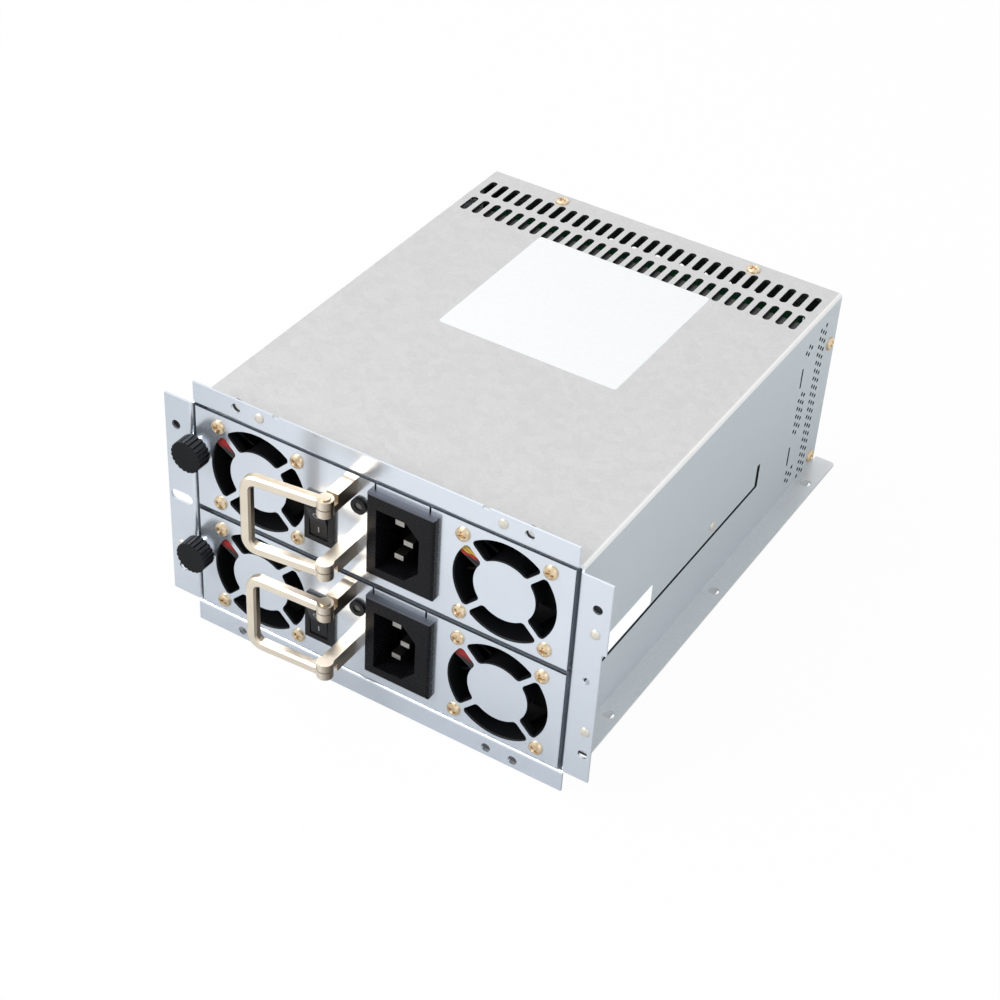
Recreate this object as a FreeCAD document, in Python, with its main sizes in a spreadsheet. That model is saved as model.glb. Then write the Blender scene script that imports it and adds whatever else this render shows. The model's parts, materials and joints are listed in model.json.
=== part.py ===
import FreeCAD, Part
import math
import os
import Sketcher
from FreeCAD import Placement, Rotation, Vector

# Redundant power supply for a server: a sheet-metal housing with two stacked modules that slide out.
# X runs to the right, Y from the front face to the rear, Z up. The origin is the centre of the front
# mounting flanges, on their front face. All lengths are millimetres.

doc = FreeCAD.newDocument("hot_swap_supply")
sheet = doc.addObject("Spreadsheet::Sheet", "Sizes")

DRIVING_SIZES = {
    # housing
    "housing_width": 150.0, "housing_height": 88.0, "housing_depth": 190.0, "housing_sheet": 0.8,
    "bend_radius": 1.4, "flange_height": 8.0, "ear_width": 11.0, "ear_step": 1.6, "ear_step_height": 14.0,
    "ear_bolt_reach": 6.5, "ear_bolt_drop": 12.9, "lip_bolt_inset": 19.0, "lip_bolt_rise": 4.6,
    "flange_hole_radius": 1.75, "rivet_inset": 28.5, "ear_rivet_drop": 23.0, "rivet_radius": 2.0,
    "rivet_height": 0.4, "gap_slot_length": 9.4, "gap_slot_height": 4.4, "notch_width": 2.4,
    "notch_depth": 0.9, "notch_inset": 35.0,
    # roof slots, side perforations and the long relief cut in the side wall
    "slot_count": 28.0, "slot_margin": 6.36, "slot_length": 10.5, "slot_radius": 1.45,
    "slot_row_inset": 13.0, "slot_row_pitch": 14.0,
    "perforation_radius": 0.85, "perforation_blank": 18.0, "perforation_column": 2.3,
    "perforation_inset": 11.0, "perforation_drop": 7.6,
    "relief_slot_width": 1.2, "relief_slot_length": 8.6,
    "relief_y": 134.5, "relief_z": -8.9, "relief_width": 1.5, "relief_leg_width": 2.4, "relief_leg_top": 0.9,
    # base, shelf, rails and rear panel
    "wall_lip": 8.0, "lip_start": 8.0, "shelf_lip": 7.0, "shelf_front": 3.0, "shelf_gap": 1.2, "guide_height": 5.0,
    "rail_width": 8.0, "rail_drop": 12.0, "rail_overhang": 3.0, "rail_leg": 9.0, "rail_front": 1.6,
    "rail_bolt_y": 22.0, "rail_bolt_inset": 18.0, "rail_hole_radius": 2.0,
    "panel_lip": 8.0, "vent_length": 18.0, "vent_pitch": 10.0, "vent_radius": 2.0,
    "outlet_x": -38.0, "outlet_width": 34.0, "outlet_height": 18.0, "bushing_wall": 1.6, "bushing_lip": 2.0,
    "screw_head_radius": 2.6, "screw_head_height": 0.8, "screw_radius": 1.5, "roof_screw_x": 41.0,
    "rear_screw_inset": 5.0, "side_screw_drop": 19.0, "side_screw_rise": 17.0, "shelf_rivet_y": 97.5,
    "nut_plate_y": 4.4, "nut_plate_thickness": 1.6, "nut_plate_half_height": 4.0,
    # backplane
    "backplane_gap": 11.6, "board_thickness": 1.6, "backplane_side_gap": 8.2, "backplane_edge_gap": 5.0,
    "socket_depth": 8.0, "socket_half_width": 31.0, "socket_half_height": 5.0, "standoff_radius": 3.0,
    # module sheet metal
    "bay_gap": 0.5, "module_rear_gap": 11.0, "module_sheet": 0.8, "thumb_bay": 6.4, "board_gap": 4.0,
    "guard_rim": 0.3, "guard_slot": 7.8, "guard_spoke": 2.0, "guard_corner": 1.5,
    "module_slide_slack": 0.3,
    # fans
    "fan_clearance": 0.9, "fan_depth": 20.0, "fan_wall": 1.0, "fan_hole_radius": 1.8,
    "fan_side_gap": 0.3, "strut_width": 2.2, "strut_depth": 2.5,
    "hub_length": 13.5, "axle_radius": 1.0, "running_gap": 0.05, "axial_gap": 0.3,
    "tip_gap": 1.4, "camber_radius": 13.0, "blade_thickness": 0.9, "blade_count": 7.0,
    "lead_radius": 0.65,
    # inlet
    "post_to_bezel": 5.1, "bezel_to_fan": 5.0, "fan_to_wall": 3.7, "inlet_z": 1.5,
    "bezel_width": 26.0, "bezel_height": 33.5, "bezel_depth": 2.6,
    "inlet_body_width": 22.5, "inlet_body_height": 29.5, "inlet_body_depth": 22.0,
    "recess_shift": 0.8, "recess_z": 0.8, "recess_width": 16.5, "recess_height": 24.2, "recess_chamfer": 5.4,
    "recess_depth": 17.0, "pin_pitch": 14.0, "pin_offset": 3.4, "pin_width": 3.4, "pin_thickness": 2.0,
    "pin_setback": 4.0, "pin_tail": 4.0,
    # switch and indicator
    "switch_overlap": 0.2, "switch_to_post": 4.0, "switch_z": -3.2,
    "switch_width": 11.4, "switch_height": 19.0, "switch_lip": 1.5,
    "switch_wall": 1.3, "switch_depth": 14.0, "rocker_tilt": 12.0, "rocker_pivot_depth": 1.2,
    "rocker_gap": 0.35, "rocker_rise": 2.6, "rocker_axle": 1.0,
    "lamp_to_bezel": 4.0, "lamp_drop": 8.5, "lamp_ring_radius": 3.0, "lamp_ring_height": 1.2,
    "lamp_radius": 1.5,
    "lamp_wall": 0.7, "lamp_length": 6.0,
    # handle
    "hinge_y": -14.5, "handle_z": 3.9, "handle_clearance": 2.9, "handle_reach": 28.5,
    "bar_width": 4.0, "bar_thickness": 3.6, "bar_chamfer": 0.7, "bar_bend": 4.0, "eye_radius": 2.9,
    "eye_height": 3.0, "hinge_pin_radius": 1.2, "hinge_gap": 0.3, "post_width": 4.6, "post_stud_radius": 1.5,
    "upper_handle_swing": 7.0, "lower_handle_swing": 3.0,
    # captive thumbscrew
    "thumb_inset": 3.6, "thumb_z": 4.8, "knob_radius": 6.0, "knob_length": 5.6, "ferrule_radius": 3.6,
    "ferrule_height": 2.4, "thumb_gap": 0.2, "shank_radius": 1.5, "shank_end": 7.0, "knurl_count": 20.0,
    "knurl_depth": 0.5,
    # circuit inside a module
    "board_front": 24.0, "board_rear": 5.0, "edge_half_width": 28.0, "edge_length": 6.2,
    "edge_thickness": 3.0,
    "connector_depth": 9.0, "core_width": 34.0, "core_depth": 30.0, "core_height": 27.0, "core_leg": 7.0,
    "core_x": -6.0, "core_start": 48.0, "bulk_radius": 10.0, "bulk_height": 30.0, "bulk_start": 22.0,
    "bulk_x": 10.0, "bulk_pitch": 24.0, "filter_radius": 4.0, "filter_height": 18.0, "filter_inset": 43.0,
    "filter_x": -6.0, "filter_pitch": 11.0, "sink_thickness": 2.5, "sink_start": 16.0, "sink_room": 73.0,
    "sink_height": 27.0, "left_sink_inset": 24.6, "right_sink_inset": 19.0, "fin_length": 6.0,
    "fin_count": 5.0, "fin_thickness": 1.4,
}


class Size:
    """A length that knows both its number and the sheet expression that it comes from."""

    def __init__(self, value, text):
        self.value = float(value)
        self.text = text

    @staticmethod
    def of(other):
        return other if isinstance(other, Size) else Size(other, "(%s)" % repr(float(other)))

    def join(self, other, sign, value):
        return Size(value, "(%s %s %s)" % (self.text, sign, Size.of(other).text))

    def __add__(self, other):
        return self.join(other, "+", self.value + Size.of(other).value)

    def __sub__(self, other):
        return self.join(other, "-", self.value - Size.of(other).value)

    def __mul__(self, other):
        return self.join(other, "*", self.value * Size.of(other).value)

    def __truediv__(self, other):
        return self.join(other, "/", self.value / Size.of(other).value)

    def __radd__(self, other):
        return Size.of(other) + self

    def __rsub__(self, other):
        return Size.of(other) - self

    def __rmul__(self, other):
        return Size.of(other) * self

    def __neg__(self):
        return Size.of(0) - self


class SizeSheet:
    """Gives each alias of the sheet as a Size."""

    def __getattr__(self, alias):
        return Size(DRIVING_SIZES[alias], "Sizes." + alias)


for row, (alias, number) in enumerate(DRIVING_SIZES.items(), start=1):
    sheet.set("A%d" % row, alias)
    sheet.set("B%d" % row, repr(number))
    sheet.setAlias("B%d" % row, alias)
doc.recompute()
s = SizeSheet()

# Sizes worked out from the driving ones
half_width = s.housing_width / 2
half_height = s.housing_height / 2
wall_inner = half_width - s.housing_sheet
roof_inner = half_height - s.housing_sheet
module_half_height = (half_height - s.housing_sheet * 1.5 - s.bay_gap * 2) / 2
module_centre = s.housing_sheet / 2 + s.bay_gap + module_half_height
module_right = wall_inner - s.housing_sheet - s.bay_gap
body_left = half_width - s.thumb_bay
tray_top = module_half_height - s.module_sheet
tray_floor = s.module_sheet - module_half_height
board_bottom = tray_floor + s.board_gap
board_top = board_bottom + s.board_thickness
fan_front = s.module_sheet
backplane_front = s.housing_depth - s.housing_sheet - s.backplane_gap - s.board_thickness
module_depth = backplane_front - s.module_rear_gap
rail_top = s.rail_drop - half_height
rail_length = s.housing_depth + s.rail_overhang
edge_z = board_top + s.edge_thickness
side_screws = (half_height - s.side_screw_drop, s.side_screw_rise - half_height)
ear_bolt_x = half_width + s.ear_bolt_reach
ear_bolt_z = half_height - s.ear_bolt_drop
ear_rivet_z = half_height - s.ear_rivet_drop
lip_bolt_x = half_width - s.lip_bolt_inset
lip_bolt_z = half_height + s.lip_bolt_rise
rivet_x = half_width - s.rivet_inset
slot_pitch = (s.housing_width - s.slot_margin) / s.slot_count
perforation_top = half_height - s.perforation_drop
perforation_row = (s.housing_height - s.perforation_blank) / 20
backplane_half_width = wall_inner - s.backplane_side_gap
backplane_half_height = half_height - s.backplane_edge_gap

# Fans fill the height of a module, and their own parts follow their size
fan_size = (module_half_height - s.fan_clearance) * 2
fan_pitch = fan_size * 0.8
fan_bore = fan_size / 2 - s.fan_wall
motor_radius = fan_size * 0.275
hub_radius = fan_size * 0.26
blade_tip = fan_bore - s.tip_gap
guard_outer = fan_bore + s.guard_rim
guard_inner = guard_outer - s.guard_slot

# Across the face: fan, switch, handle post, inlet, fan. The gaps share what width is left over.
left_fan_x = fan_size / 2 + s.module_sheet + s.fan_side_gap - body_left
face_left = left_fan_x + fan_size / 2 - s.switch_overlap
face_right = module_right - s.module_sheet - fan_size
face_gaps = s.switch_to_post + s.post_to_bezel + s.bezel_to_fan + s.fan_to_wall
share = (face_right - face_left - s.switch_width - s.post_width - s.bezel_width) / face_gaps
switch_x = face_left + s.switch_width / 2
hinge_x = switch_x + s.switch_width / 2 + s.switch_to_post * share + s.post_width / 2
inlet_x = hinge_x + s.post_width / 2 + s.post_to_bezel * share + s.bezel_width / 2
right_fan_x = inlet_x + s.bezel_width / 2 + s.bezel_to_fan * share + fan_size / 2
recess_x = inlet_x - s.recess_shift
handle_half_height = module_half_height - s.handle_z - s.handle_clearance
lamp_x = inlet_x - s.bezel_width / 2 - s.lamp_to_bezel
lamp_z = s.handle_z + handle_half_height - s.lamp_drop
thumb_x = s.thumb_inset - half_width
SHAPE_NODES = []


def number(size):
    return Size.of(size).value


def tie(target, path, size):
    """Sets a property, bound to the sheet where the size comes from it."""
    if isinstance(size, Size):
        target.setExpression(path, size.text)
    else:
        target.setExpression(path, repr(float(size)))


def place(target, x=0, y=0, z=0):
    for axis, size in (("x", x), ("y", y), ("z", z)):
        tie(target, "Placement.Base." + axis, size)
    return target


def node(target, label):
    """Names a finished sub-part, whose shape becomes a file."""
    target.Label = label
    SHAPE_NODES.append(target)
    return target


def unique(name):
    return name + "_%d" % (len(doc.Objects) + 1)


def box(x0, x1, y0, y1, z0, z1):
    """A block between two corners."""
    solid = doc.addObject("Part::Box", unique("block"))
    tie(solid, "Length", Size.of(x1) - x0)
    tie(solid, "Width", Size.of(y1) - y0)
    tie(solid, "Height", Size.of(z1) - z0)
    return place(solid, x0, y0, z0)


AXIS_TURNS = {"x": Rotation(Vector(0, 1, 0), 90), "y": Rotation(Vector(1, 0, 0), -90), "z": Rotation()}


def rod(axis, radius, length, x=0, y=0, z=0):
    """A cylinder that starts at a point and runs along one axis."""
    solid = doc.addObject("Part::Cylinder", unique("rod"))
    tie(solid, "Radius", radius)
    tie(solid, "Height", length)
    solid.Placement = Placement(Vector(), AXIS_TURNS[axis])
    return place(solid, x, y, z)


def prism(axis, sides, radius, length, x=0, y=0, z=0):
    """A regular prism that starts at a point and runs along one axis."""
    solid = doc.addObject("Part::Prism", unique("prism"))
    solid.Polygon = sides
    tie(solid, "Circumradius", radius)
    tie(solid, "Height", length)
    solid.Placement = Placement(Vector(), AXIS_TURNS[axis])
    return place(solid, x, y, z)


def fuse(*solids):
    joined = doc.addObject("Part::MultiFuse", unique("joined"))
    joined.Shapes = list(solids)
    return joined


def cut(base, tool):
    result = doc.addObject("Part::Cut", unique("cut"))
    result.Base = base
    result.Tool = tool
    return result


def group(solids):
    """Separate solids in one node."""
    together = doc.addObject("Part::Compound", unique("group"))
    together.Links = list(solids)
    return together


# Sketches and features of a body

def new_body(label):
    return doc.addObject("PartDesign::Body", "body_" + label)


def sketch(body, plane, along=0, across=0, offset=0):
    """A sketch on one of the body's origin planes, moved in the plane and along its normal."""
    drawing = body.newObject("Sketcher::SketchObject", unique("sketch"))
    support = [item for item in body.Origin.OriginFeatures if item.Role == plane + "_Plane"][0]
    drawing.AttachmentSupport = (support, [""])
    drawing.MapMode = "FlatFace"
    for axis, size in (("x", along), ("y", across), ("z", offset)):
        tie(drawing, "AttachmentOffset.Base." + axis, size)
    return drawing


def hold(drawing, kind, *items):
    """Adds a constraint whose last item is a size."""
    size = items[-1]
    index = drawing.addConstraint(Sketcher.Constraint(kind, *items[:-1], number(size)))
    if isinstance(size, Size):
        drawing.setExpression("Constraints[%d]" % index, size.text)


def hold_point(drawing, item, end, x, y):
    hold(drawing, "DistanceX", -1, 1, item, end, x)
    hold(drawing, "DistanceY", -1, 1, item, end, y)


def outline(drawing, points):
    """A closed polygon, each corner held by its distances from the sketch's origin."""
    first = drawing.GeometryCount
    spots = [Vector(number(x), number(y), 0) for x, y in points]
    count = len(spots)
    for i in range(count):
        drawing.addGeometry(Part.LineSegment(spots[i], spots[(i + 1) % count]), False)
    for i in range(count):
        drawing.addConstraint(Sketcher.Constraint("Coincident", first + i, 2, first + (i + 1) % count, 1))
    for i, (x, y) in enumerate(points):
        hold_point(drawing, first + i, 1, x, y)


def rectangle(drawing, x0, x1, y0, y1):
    outline(drawing, [(x0, y0), (x1, y0), (x1, y1), (x0, y1)])


def centred(drawing, x, y, width, height):
    rectangle(drawing, x - width / 2, x + width / 2, y - height / 2, y + height / 2)


def circle(drawing, x, y, radius):
    spot = Vector(number(x), number(y), 0)
    index = drawing.addGeometry(Part.Circle(spot, Vector(0, 0, 1), number(radius)), False)
    hold_point(drawing, index, 3, x, y)
    hold(drawing, "Radius", index, radius)


def slot(drawing, x, y, length, radius, upright=True):
    """A round-ended slot centred on a point."""
    reach = length / 2 - radius
    ends = [(x, y - reach), (x, y + reach)] if upright else [(x - reach, y), (x + reach, y)]
    turn = math.pi / 2 if upright else 0
    r = number(radius)
    normal = Vector(0, 0, 1)
    spots = [Vector(number(a), number(b), 0) for a, b in ends]
    starts = [math.pi / 2 + turn, -math.pi / 2 + turn]
    arcs = [drawing.addGeometry(Part.ArcOfCircle(Part.Circle(spot, normal, r), start, start + math.pi), False)
            for spot, start in zip(spots, starts)]
    side = Vector(-r * math.sin(turn), r * math.cos(turn), 0)
    lines = [drawing.addGeometry(Part.LineSegment(spots[0] + side * k, spots[1] + side * k), False)
             for k in (1, -1)]
    for arc, end, line, line_end in ((arcs[0], 1, lines[0], 1), (arcs[0], 2, lines[1], 1),
                                     (arcs[1], 2, lines[0], 2), (arcs[1], 1, lines[1], 2)):
        drawing.addConstraint(Sketcher.Constraint("Tangent", arc, end, line, line_end))
    drawing.addConstraint(Sketcher.Constraint("Equal", arcs[0], arcs[1]))
    for arc, (a, b) in zip(arcs, ends):
        hold_point(drawing, arc, 3, a, b)
    hold(drawing, "Radius", arcs[0], radius)


def bent_strip(drawing, start, end, spot):
    """Section of a flange that leaves a wall through a round bend; spot gives a point of the sketch."""
    outer = s.bend_radius
    inner = s.bend_radius - s.housing_sheet
    centre = (start + outer, outer)
    corners = [(start, outer), (start + outer, 0), (end, 0), (end, s.housing_sheet),
               (start + outer, s.housing_sheet), (start + s.housing_sheet, outer)]
    spots = [Vector(*(number(value) for value in spot(*corner)), 0) for corner in corners]
    middle = Vector(*(number(value) for value in spot(*centre)), 0)
    items = []
    for i, following in enumerate(spots[1:] + spots[:1]):
        radius = {0: outer, 4: inner}.get(i)
        if radius is None:
            items.append(drawing.addGeometry(Part.LineSegment(spots[i], following), False))
            continue
        turns = [math.atan2(point.y - middle.y, point.x - middle.x) for point in (spots[i], following)]
        if math.sin(turns[1] - turns[0]) < 0:
            turns.reverse()
        whole = Part.Circle(middle, Vector(0, 0, 1), number(radius))
        items.append(drawing.addGeometry(Part.ArcOfCircle(whole, *turns), False))
    for i, item in enumerate(items):
        following = items[(i + 1) % len(items)]
        ends = [1 if (drawing.Geometry[item].StartPoint - spots[i]).Length < 1e-6 else 2]
        ends.append(3 - ends[0])
        after = spots[(i + 1) % len(items)]
        start_next = 1 if (drawing.Geometry[following].StartPoint - after).Length < 1e-6 else 2
        drawing.addConstraint(Sketcher.Constraint("Coincident", item, ends[1], following, start_next))
        hold_point(drawing, item, ends[0], *spot(*corners[i]))
    for i, radius in ((0, outer), (4, inner)):
        hold(drawing, "Radius", items[i], radius)


def pad(body, drawing, length, reverse=False):
    feature = body.newObject("PartDesign::Pad", unique("pad"))
    feature.Profile = drawing
    tie(feature, "Length", length)
    feature.Reversed = reverse
    return feature


def pocket(body, drawing, length, reverse=False, both_ways=False):
    feature = body.newObject("PartDesign::Pocket", unique("pocket"))
    feature.Refine = False
    feature.Profile = drawing
    tie(feature, "Length", length)
    feature.Reversed = reverse
    if both_ways:
        feature.SideType = "Symmetric"
    return feature


def row_of(body, feature, drawing, axis, count, pitch):
    """Repeats a feature along an axis of its sketch."""
    pattern = body.newObject("PartDesign::LinearPattern", unique("row"))
    pattern.Originals = [feature]
    pattern.Refine = False
    pattern.Direction = (drawing, [axis])
    pattern.Mode = "Spacing"
    tie(pattern, "Occurrences", count)
    tie(pattern, "Offset", pitch)
    body.Tip = pattern
    return pattern


def ring_of(body, feature, drawing, count):
    """Repeats a feature round the normal through the sketch's origin."""
    pattern = body.newObject("PartDesign::PolarPattern", unique("ring"))
    pattern.Originals = [feature]
    pattern.Refine = False
    pattern.Axis = (drawing, ["N_Axis"])
    pattern.Angle = 360
    tie(pattern, "Occurrences", count)
    body.Tip = pattern
    return pattern


def round_edges(body, radius, chosen):
    """Rounds the edges of the body's last feature whose middle and direction pass the test."""
    doc.recompute()
    base = body.Tip
    names = []
    for index, edge in enumerate(base.Shape.Edges, start=1):
        if edge.Curve.TypeId != "Part::GeomLine":
            continue
        middle = edge.valueAt((edge.FirstParameter + edge.LastParameter) / 2)
        along = edge.tangentAt(edge.FirstParameter)
        if chosen(middle, along, edge.Length):
            names.append("Edge%d" % index)
    fillet = body.newObject("PartDesign::Fillet", unique("bend"))
    fillet.Base = (base, names)
    tie(fillet, "Radius", radius)
    return fillet


def near(a, b):
    return abs(a - number(b)) < 0.01


# Housing

def make_top_cover():
    """Roof and side walls folded from one sheet, with front flanges, slots, perforations and relief cuts."""
    body = new_body("top_cover")
    shell = sketch(body, "XZ", offset=-s.bend_radius)
    outline(shell, [(-half_width, -half_height), (-half_width, half_height), (half_width, half_height),
                    (half_width, -half_height), (wall_inner, -half_height), (wall_inner, roof_inner),
                    (-wall_inner, roof_inner), (-wall_inner, -half_height)])
    pad(body, shell, s.housing_depth - s.bend_radius, True)
    ear = half_width + s.ear_width
    ear_bottom = s.bend_radius - half_height
    for side in (-1, 1):
        ear_profile = sketch(body, "XY", offset=ear_bottom)
        bent_strip(ear_profile, wall_inner, ear, lambda across, y, side=side: (side * across, y))
        pad(body, ear_profile, s.housing_height - s.bend_radius * 2)
    top_profile = sketch(body, "YZ", offset=s.bend_radius - half_width)
    bent_strip(top_profile, roof_inner, half_height + s.flange_height, lambda across, y: (y, across))
    pad(body, top_profile, s.housing_width - s.bend_radius * 2)
    round_edges(body, s.bend_radius, lambda mid, along, length: near(mid.z, half_height)
                and near(abs(mid.x), half_width))
    holes = sketch(body, "XZ")
    for side in (-1, 1):
        circle(holes, side * lip_bolt_x, lip_bolt_z, s.flange_hole_radius)
        circle(holes, side * rivet_x, lip_bolt_z, s.rivet_radius * 0.7)
        centred(holes, side * (half_width - s.notch_inset), half_height + s.flange_height, s.notch_width,
                s.notch_depth * 2)
        for level in (-1, 1):
            circle(holes, side * ear_bolt_x, level * ear_bolt_z, s.flange_hole_radius)
            circle(holes, side * ear_bolt_x, level * ear_rivet_z, s.rivet_radius * 0.7)
    circle(holes, ear_bolt_x - 1.5, 0.5, s.flange_hole_radius * 0.8)
    rectangle(holes, ear - s.ear_step, ear + 1, -half_height, s.ear_step_height)
    slot(holes, -(half_width + s.gap_slot_length / 2 + 0.9), 0.5, s.gap_slot_length, s.gap_slot_height / 2,
         False)
    pocket(body, holes, s.housing_sheet * 3, both_ways=True)
    first = sketch(body, "XY", offset=half_height)
    rear_row = s.housing_depth - s.slot_row_inset
    for row_y in (rear_row - s.slot_row_pitch, rear_row):
        slot(first, slot_pitch * (1 - s.slot_count) / 2, row_y, s.slot_length, s.slot_radius)
    row_of(body, pocket(body, first, s.housing_sheet * 2), first, "H_Axis", s.slot_count, slot_pitch)
    relief = sketch(body, "YZ")
    low, high = s.relief_z - s.relief_width / 2, s.relief_z + s.relief_width / 2
    leg_front = s.relief_y - s.relief_leg_width
    outline(relief, [(s.bend_radius * 2, low), (s.relief_y, low), (s.relief_y, s.relief_leg_top),
                     (leg_front, s.relief_leg_top), (leg_front, high), (s.bend_radius * 2, high)])
    pocket(body, relief, s.housing_width * 1.2, both_ways=True)
    perforate(body)
    side_holes = sketch(body, "YZ")
    rear_y = s.housing_depth - s.rear_screw_inset
    for z in side_screws:
        circle(side_holes, rear_y, z, s.screw_radius)
    circle(side_holes, s.shelf_rivet_y, -(s.shelf_lip / 2), s.screw_radius)
    pocket(body, side_holes, s.housing_width * 1.2, both_ways=True)
    roof_holes = sketch(body, "XY")
    for side in (-1, 1):
        circle(roof_holes, side * s.roof_screw_x, rear_y, s.screw_radius)
    pocket(body, roof_holes, half_height * 1.2, True)
    return node(body, "top_cover")


PERFORATION_COLUMNS = (
    # column forward from the rear one, half rows down from the top, holes in the column
    (0, 0, 20), (1, 1, 19), (2, 0, 20),
    (5, 2, 1), (6, 1, 2), (7, 2, 1),
    (5, 14, 5), (6, 13, 6), (7, 14, 5),
    (5, 33, 2), (6, 34, 2), (7, 33, 2),
)


def perforate(body):
    """Staggered columns of small holes at the rear of both side walls, with two narrow upright slots."""
    holes = sketch(body, "YZ")
    rear_column = s.housing_depth - s.perforation_inset
    for column, half_rows, count in PERFORATION_COLUMNS:
        for row in range(count):
            circle(holes, rear_column - s.perforation_column * column,
                   perforation_top - perforation_row * (half_rows / 2 + row), s.perforation_radius)
    pocket(body, holes, s.housing_width * 1.2, both_ways=True)
    slots = sketch(body, "YZ")
    for rows_down in (4.03, 14.14):
        centred(slots, rear_column - s.perforation_column * 7.4,
                perforation_top - perforation_row * rows_down, s.relief_slot_width, s.relief_slot_length)
    pocket(body, slots, s.housing_width * 1.2, both_ways=True)


def make_base_plate():
    """Floor of the housing: upturned side lips, a guide for the lower module, a turned-down front lip."""
    body = new_body("base_plate")
    floor = sketch(body, "XZ")
    rectangle(floor, -wall_inner, wall_inner, -half_height, s.housing_sheet - half_height)
    pad(body, floor, s.housing_depth - s.housing_sheet, True)
    lip = sketch(body, "XZ")
    rectangle(lip, -half_width, half_width, -(half_height + s.flange_height), s.housing_sheet - half_height)
    pad(body, lip, s.housing_sheet, True)
    uprights = sketch(body, "XZ", offset=-s.lip_start)
    for side in (-1, 1):
        rectangle(uprights, side * wall_inner, side * (wall_inner - s.housing_sheet), -half_height,
                  s.wall_lip - half_height)
    rectangle(uprights, -(body_left + s.bay_gap + s.housing_sheet), -(body_left + s.bay_gap), -half_height,
              s.guide_height - half_height)
    pad(body, uprights, s.housing_depth - s.lip_start - s.panel_lip - s.housing_sheet * 3, True)
    round_edges(body, s.bend_radius, lambda mid, along, length: near(mid.y, 0)
                and length > number(half_width) and near(mid.z, s.housing_sheet - half_height))
    holes = sketch(body, "XZ")
    for side in (-1, 1):
        circle(holes, side * lip_bolt_x, -lip_bolt_z, s.flange_hole_radius)
    circle(holes, rivet_x - 1, -lip_bolt_z, s.flange_hole_radius)
    pocket(body, holes, s.housing_sheet * 3, both_ways=True)
    return node(body, "base_plate")


def make_mid_shelf():
    """Shelf between the bays, with side lips turned down and a guide for the upper module."""
    body = new_body("mid_shelf")
    half = s.housing_sheet / 2
    plate = sketch(body, "XZ", offset=-s.shelf_front)
    rectangle(plate, -wall_inner, wall_inner, -half, half)
    pad(body, plate, backplane_front - s.shelf_gap - s.shelf_front, True)
    lips = sketch(body, "XZ", offset=-s.lip_start)
    for side in (-1, 1):
        rectangle(lips, side * wall_inner, side * (wall_inner - s.housing_sheet), -s.shelf_lip, half)
    rectangle(lips, -(body_left + s.bay_gap + s.housing_sheet), -(body_left + s.bay_gap), half * 0,
              s.guide_height)
    pad(body, lips, s.relief_y - s.relief_leg_width - s.lip_start - 1, True)
    holes = sketch(body, "YZ")
    circle(holes, s.shelf_rivet_y, -(s.shelf_lip / 2), s.screw_radius)
    pocket(body, holes, s.housing_width * 1.2, both_ways=True)
    return node(body, "mid_shelf")


def make_rail(label, side):
    """Angle along the foot of one side wall, with three through holes for the chassis."""
    body = new_body(label)
    profile = sketch(body, "XZ", offset=-s.rail_front)
    inner = side * half_width
    outer = side * (half_width + s.rail_width)
    foot = side * (half_width + s.housing_sheet)
    outline(profile, [(inner, rail_top), (outer, rail_top), (outer, rail_top - s.housing_sheet),
                      (foot, rail_top - s.housing_sheet), (foot, rail_top - s.rail_leg),
                      (inner, rail_top - s.rail_leg)])
    pad(body, profile, rail_length - s.rail_front, True)
    first = sketch(body, "XY")
    circle(first, side * (half_width + s.rail_width / 2), s.rail_bolt_y, s.rail_hole_radius)
    holes = pocket(body, first, s.housing_height, both_ways=True)
    row_of(body, holes, first, "V_Axis", 3, (rail_length - s.rail_bolt_y - s.rail_bolt_inset) / 2)
    round_edges(body, s.bend_radius, lambda mid, along, length: near(mid.x, outer)
                and near(mid.y, rail_length) and abs(along.z) > 0.9)
    return node(body, label)


def make_rear_panel():
    """Rear wall with lips turned forward, vent slots and the output opening."""
    body = new_body("rear_panel")
    inner = wall_inner
    front = s.housing_depth - s.housing_sheet
    plate = sketch(body, "XZ", offset=-front)
    rectangle(plate, -inner, inner, -half_height, roof_inner)
    pad(body, plate, s.housing_sheet, True)
    lips = sketch(body, "XZ", offset=s.panel_lip - s.housing_depth)
    inset = inner - s.housing_sheet
    outline(lips, [(-inner, s.housing_sheet - half_height), (-inner, roof_inner), (inner, roof_inner),
                   (inner, s.housing_sheet - half_height), (inset, s.housing_sheet - half_height),
                   (inset, roof_inner - s.housing_sheet), (-inset, roof_inner - s.housing_sheet),
                   (-inset, s.housing_sheet - half_height)])
    pad(body, lips, s.panel_lip, True)
    opening = sketch(body, "XZ", offset=-front)
    centred(opening, s.outlet_x, 0, s.outlet_width, s.outlet_height)
    pocket(body, opening, s.housing_sheet * 4, both_ways=True)
    for level in (-1, 1):
        vents = sketch(body, "XZ", offset=-front)
        slot(vents, -s.vent_pitch * 6, level * half_height * 0.55, s.vent_length, s.vent_radius)
        vent = pocket(body, vents, s.housing_sheet * 4, both_ways=True)
        row_of(body, vent, vents, "H_Axis", 13, s.vent_pitch)
    holes = sketch(body, "YZ")
    rear_y = s.housing_depth - s.rear_screw_inset
    for z in side_screws:
        circle(holes, rear_y, z, s.screw_radius)
    pocket(body, holes, s.housing_width * 1.2, both_ways=True)
    roof_holes = sketch(body, "XY")
    for side in (-1, 1):
        circle(roof_holes, side * s.roof_screw_x, rear_y, s.screw_radius)
    pocket(body, roof_holes, half_height * 1.2, True)
    return node(body, "rear_panel")


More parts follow.
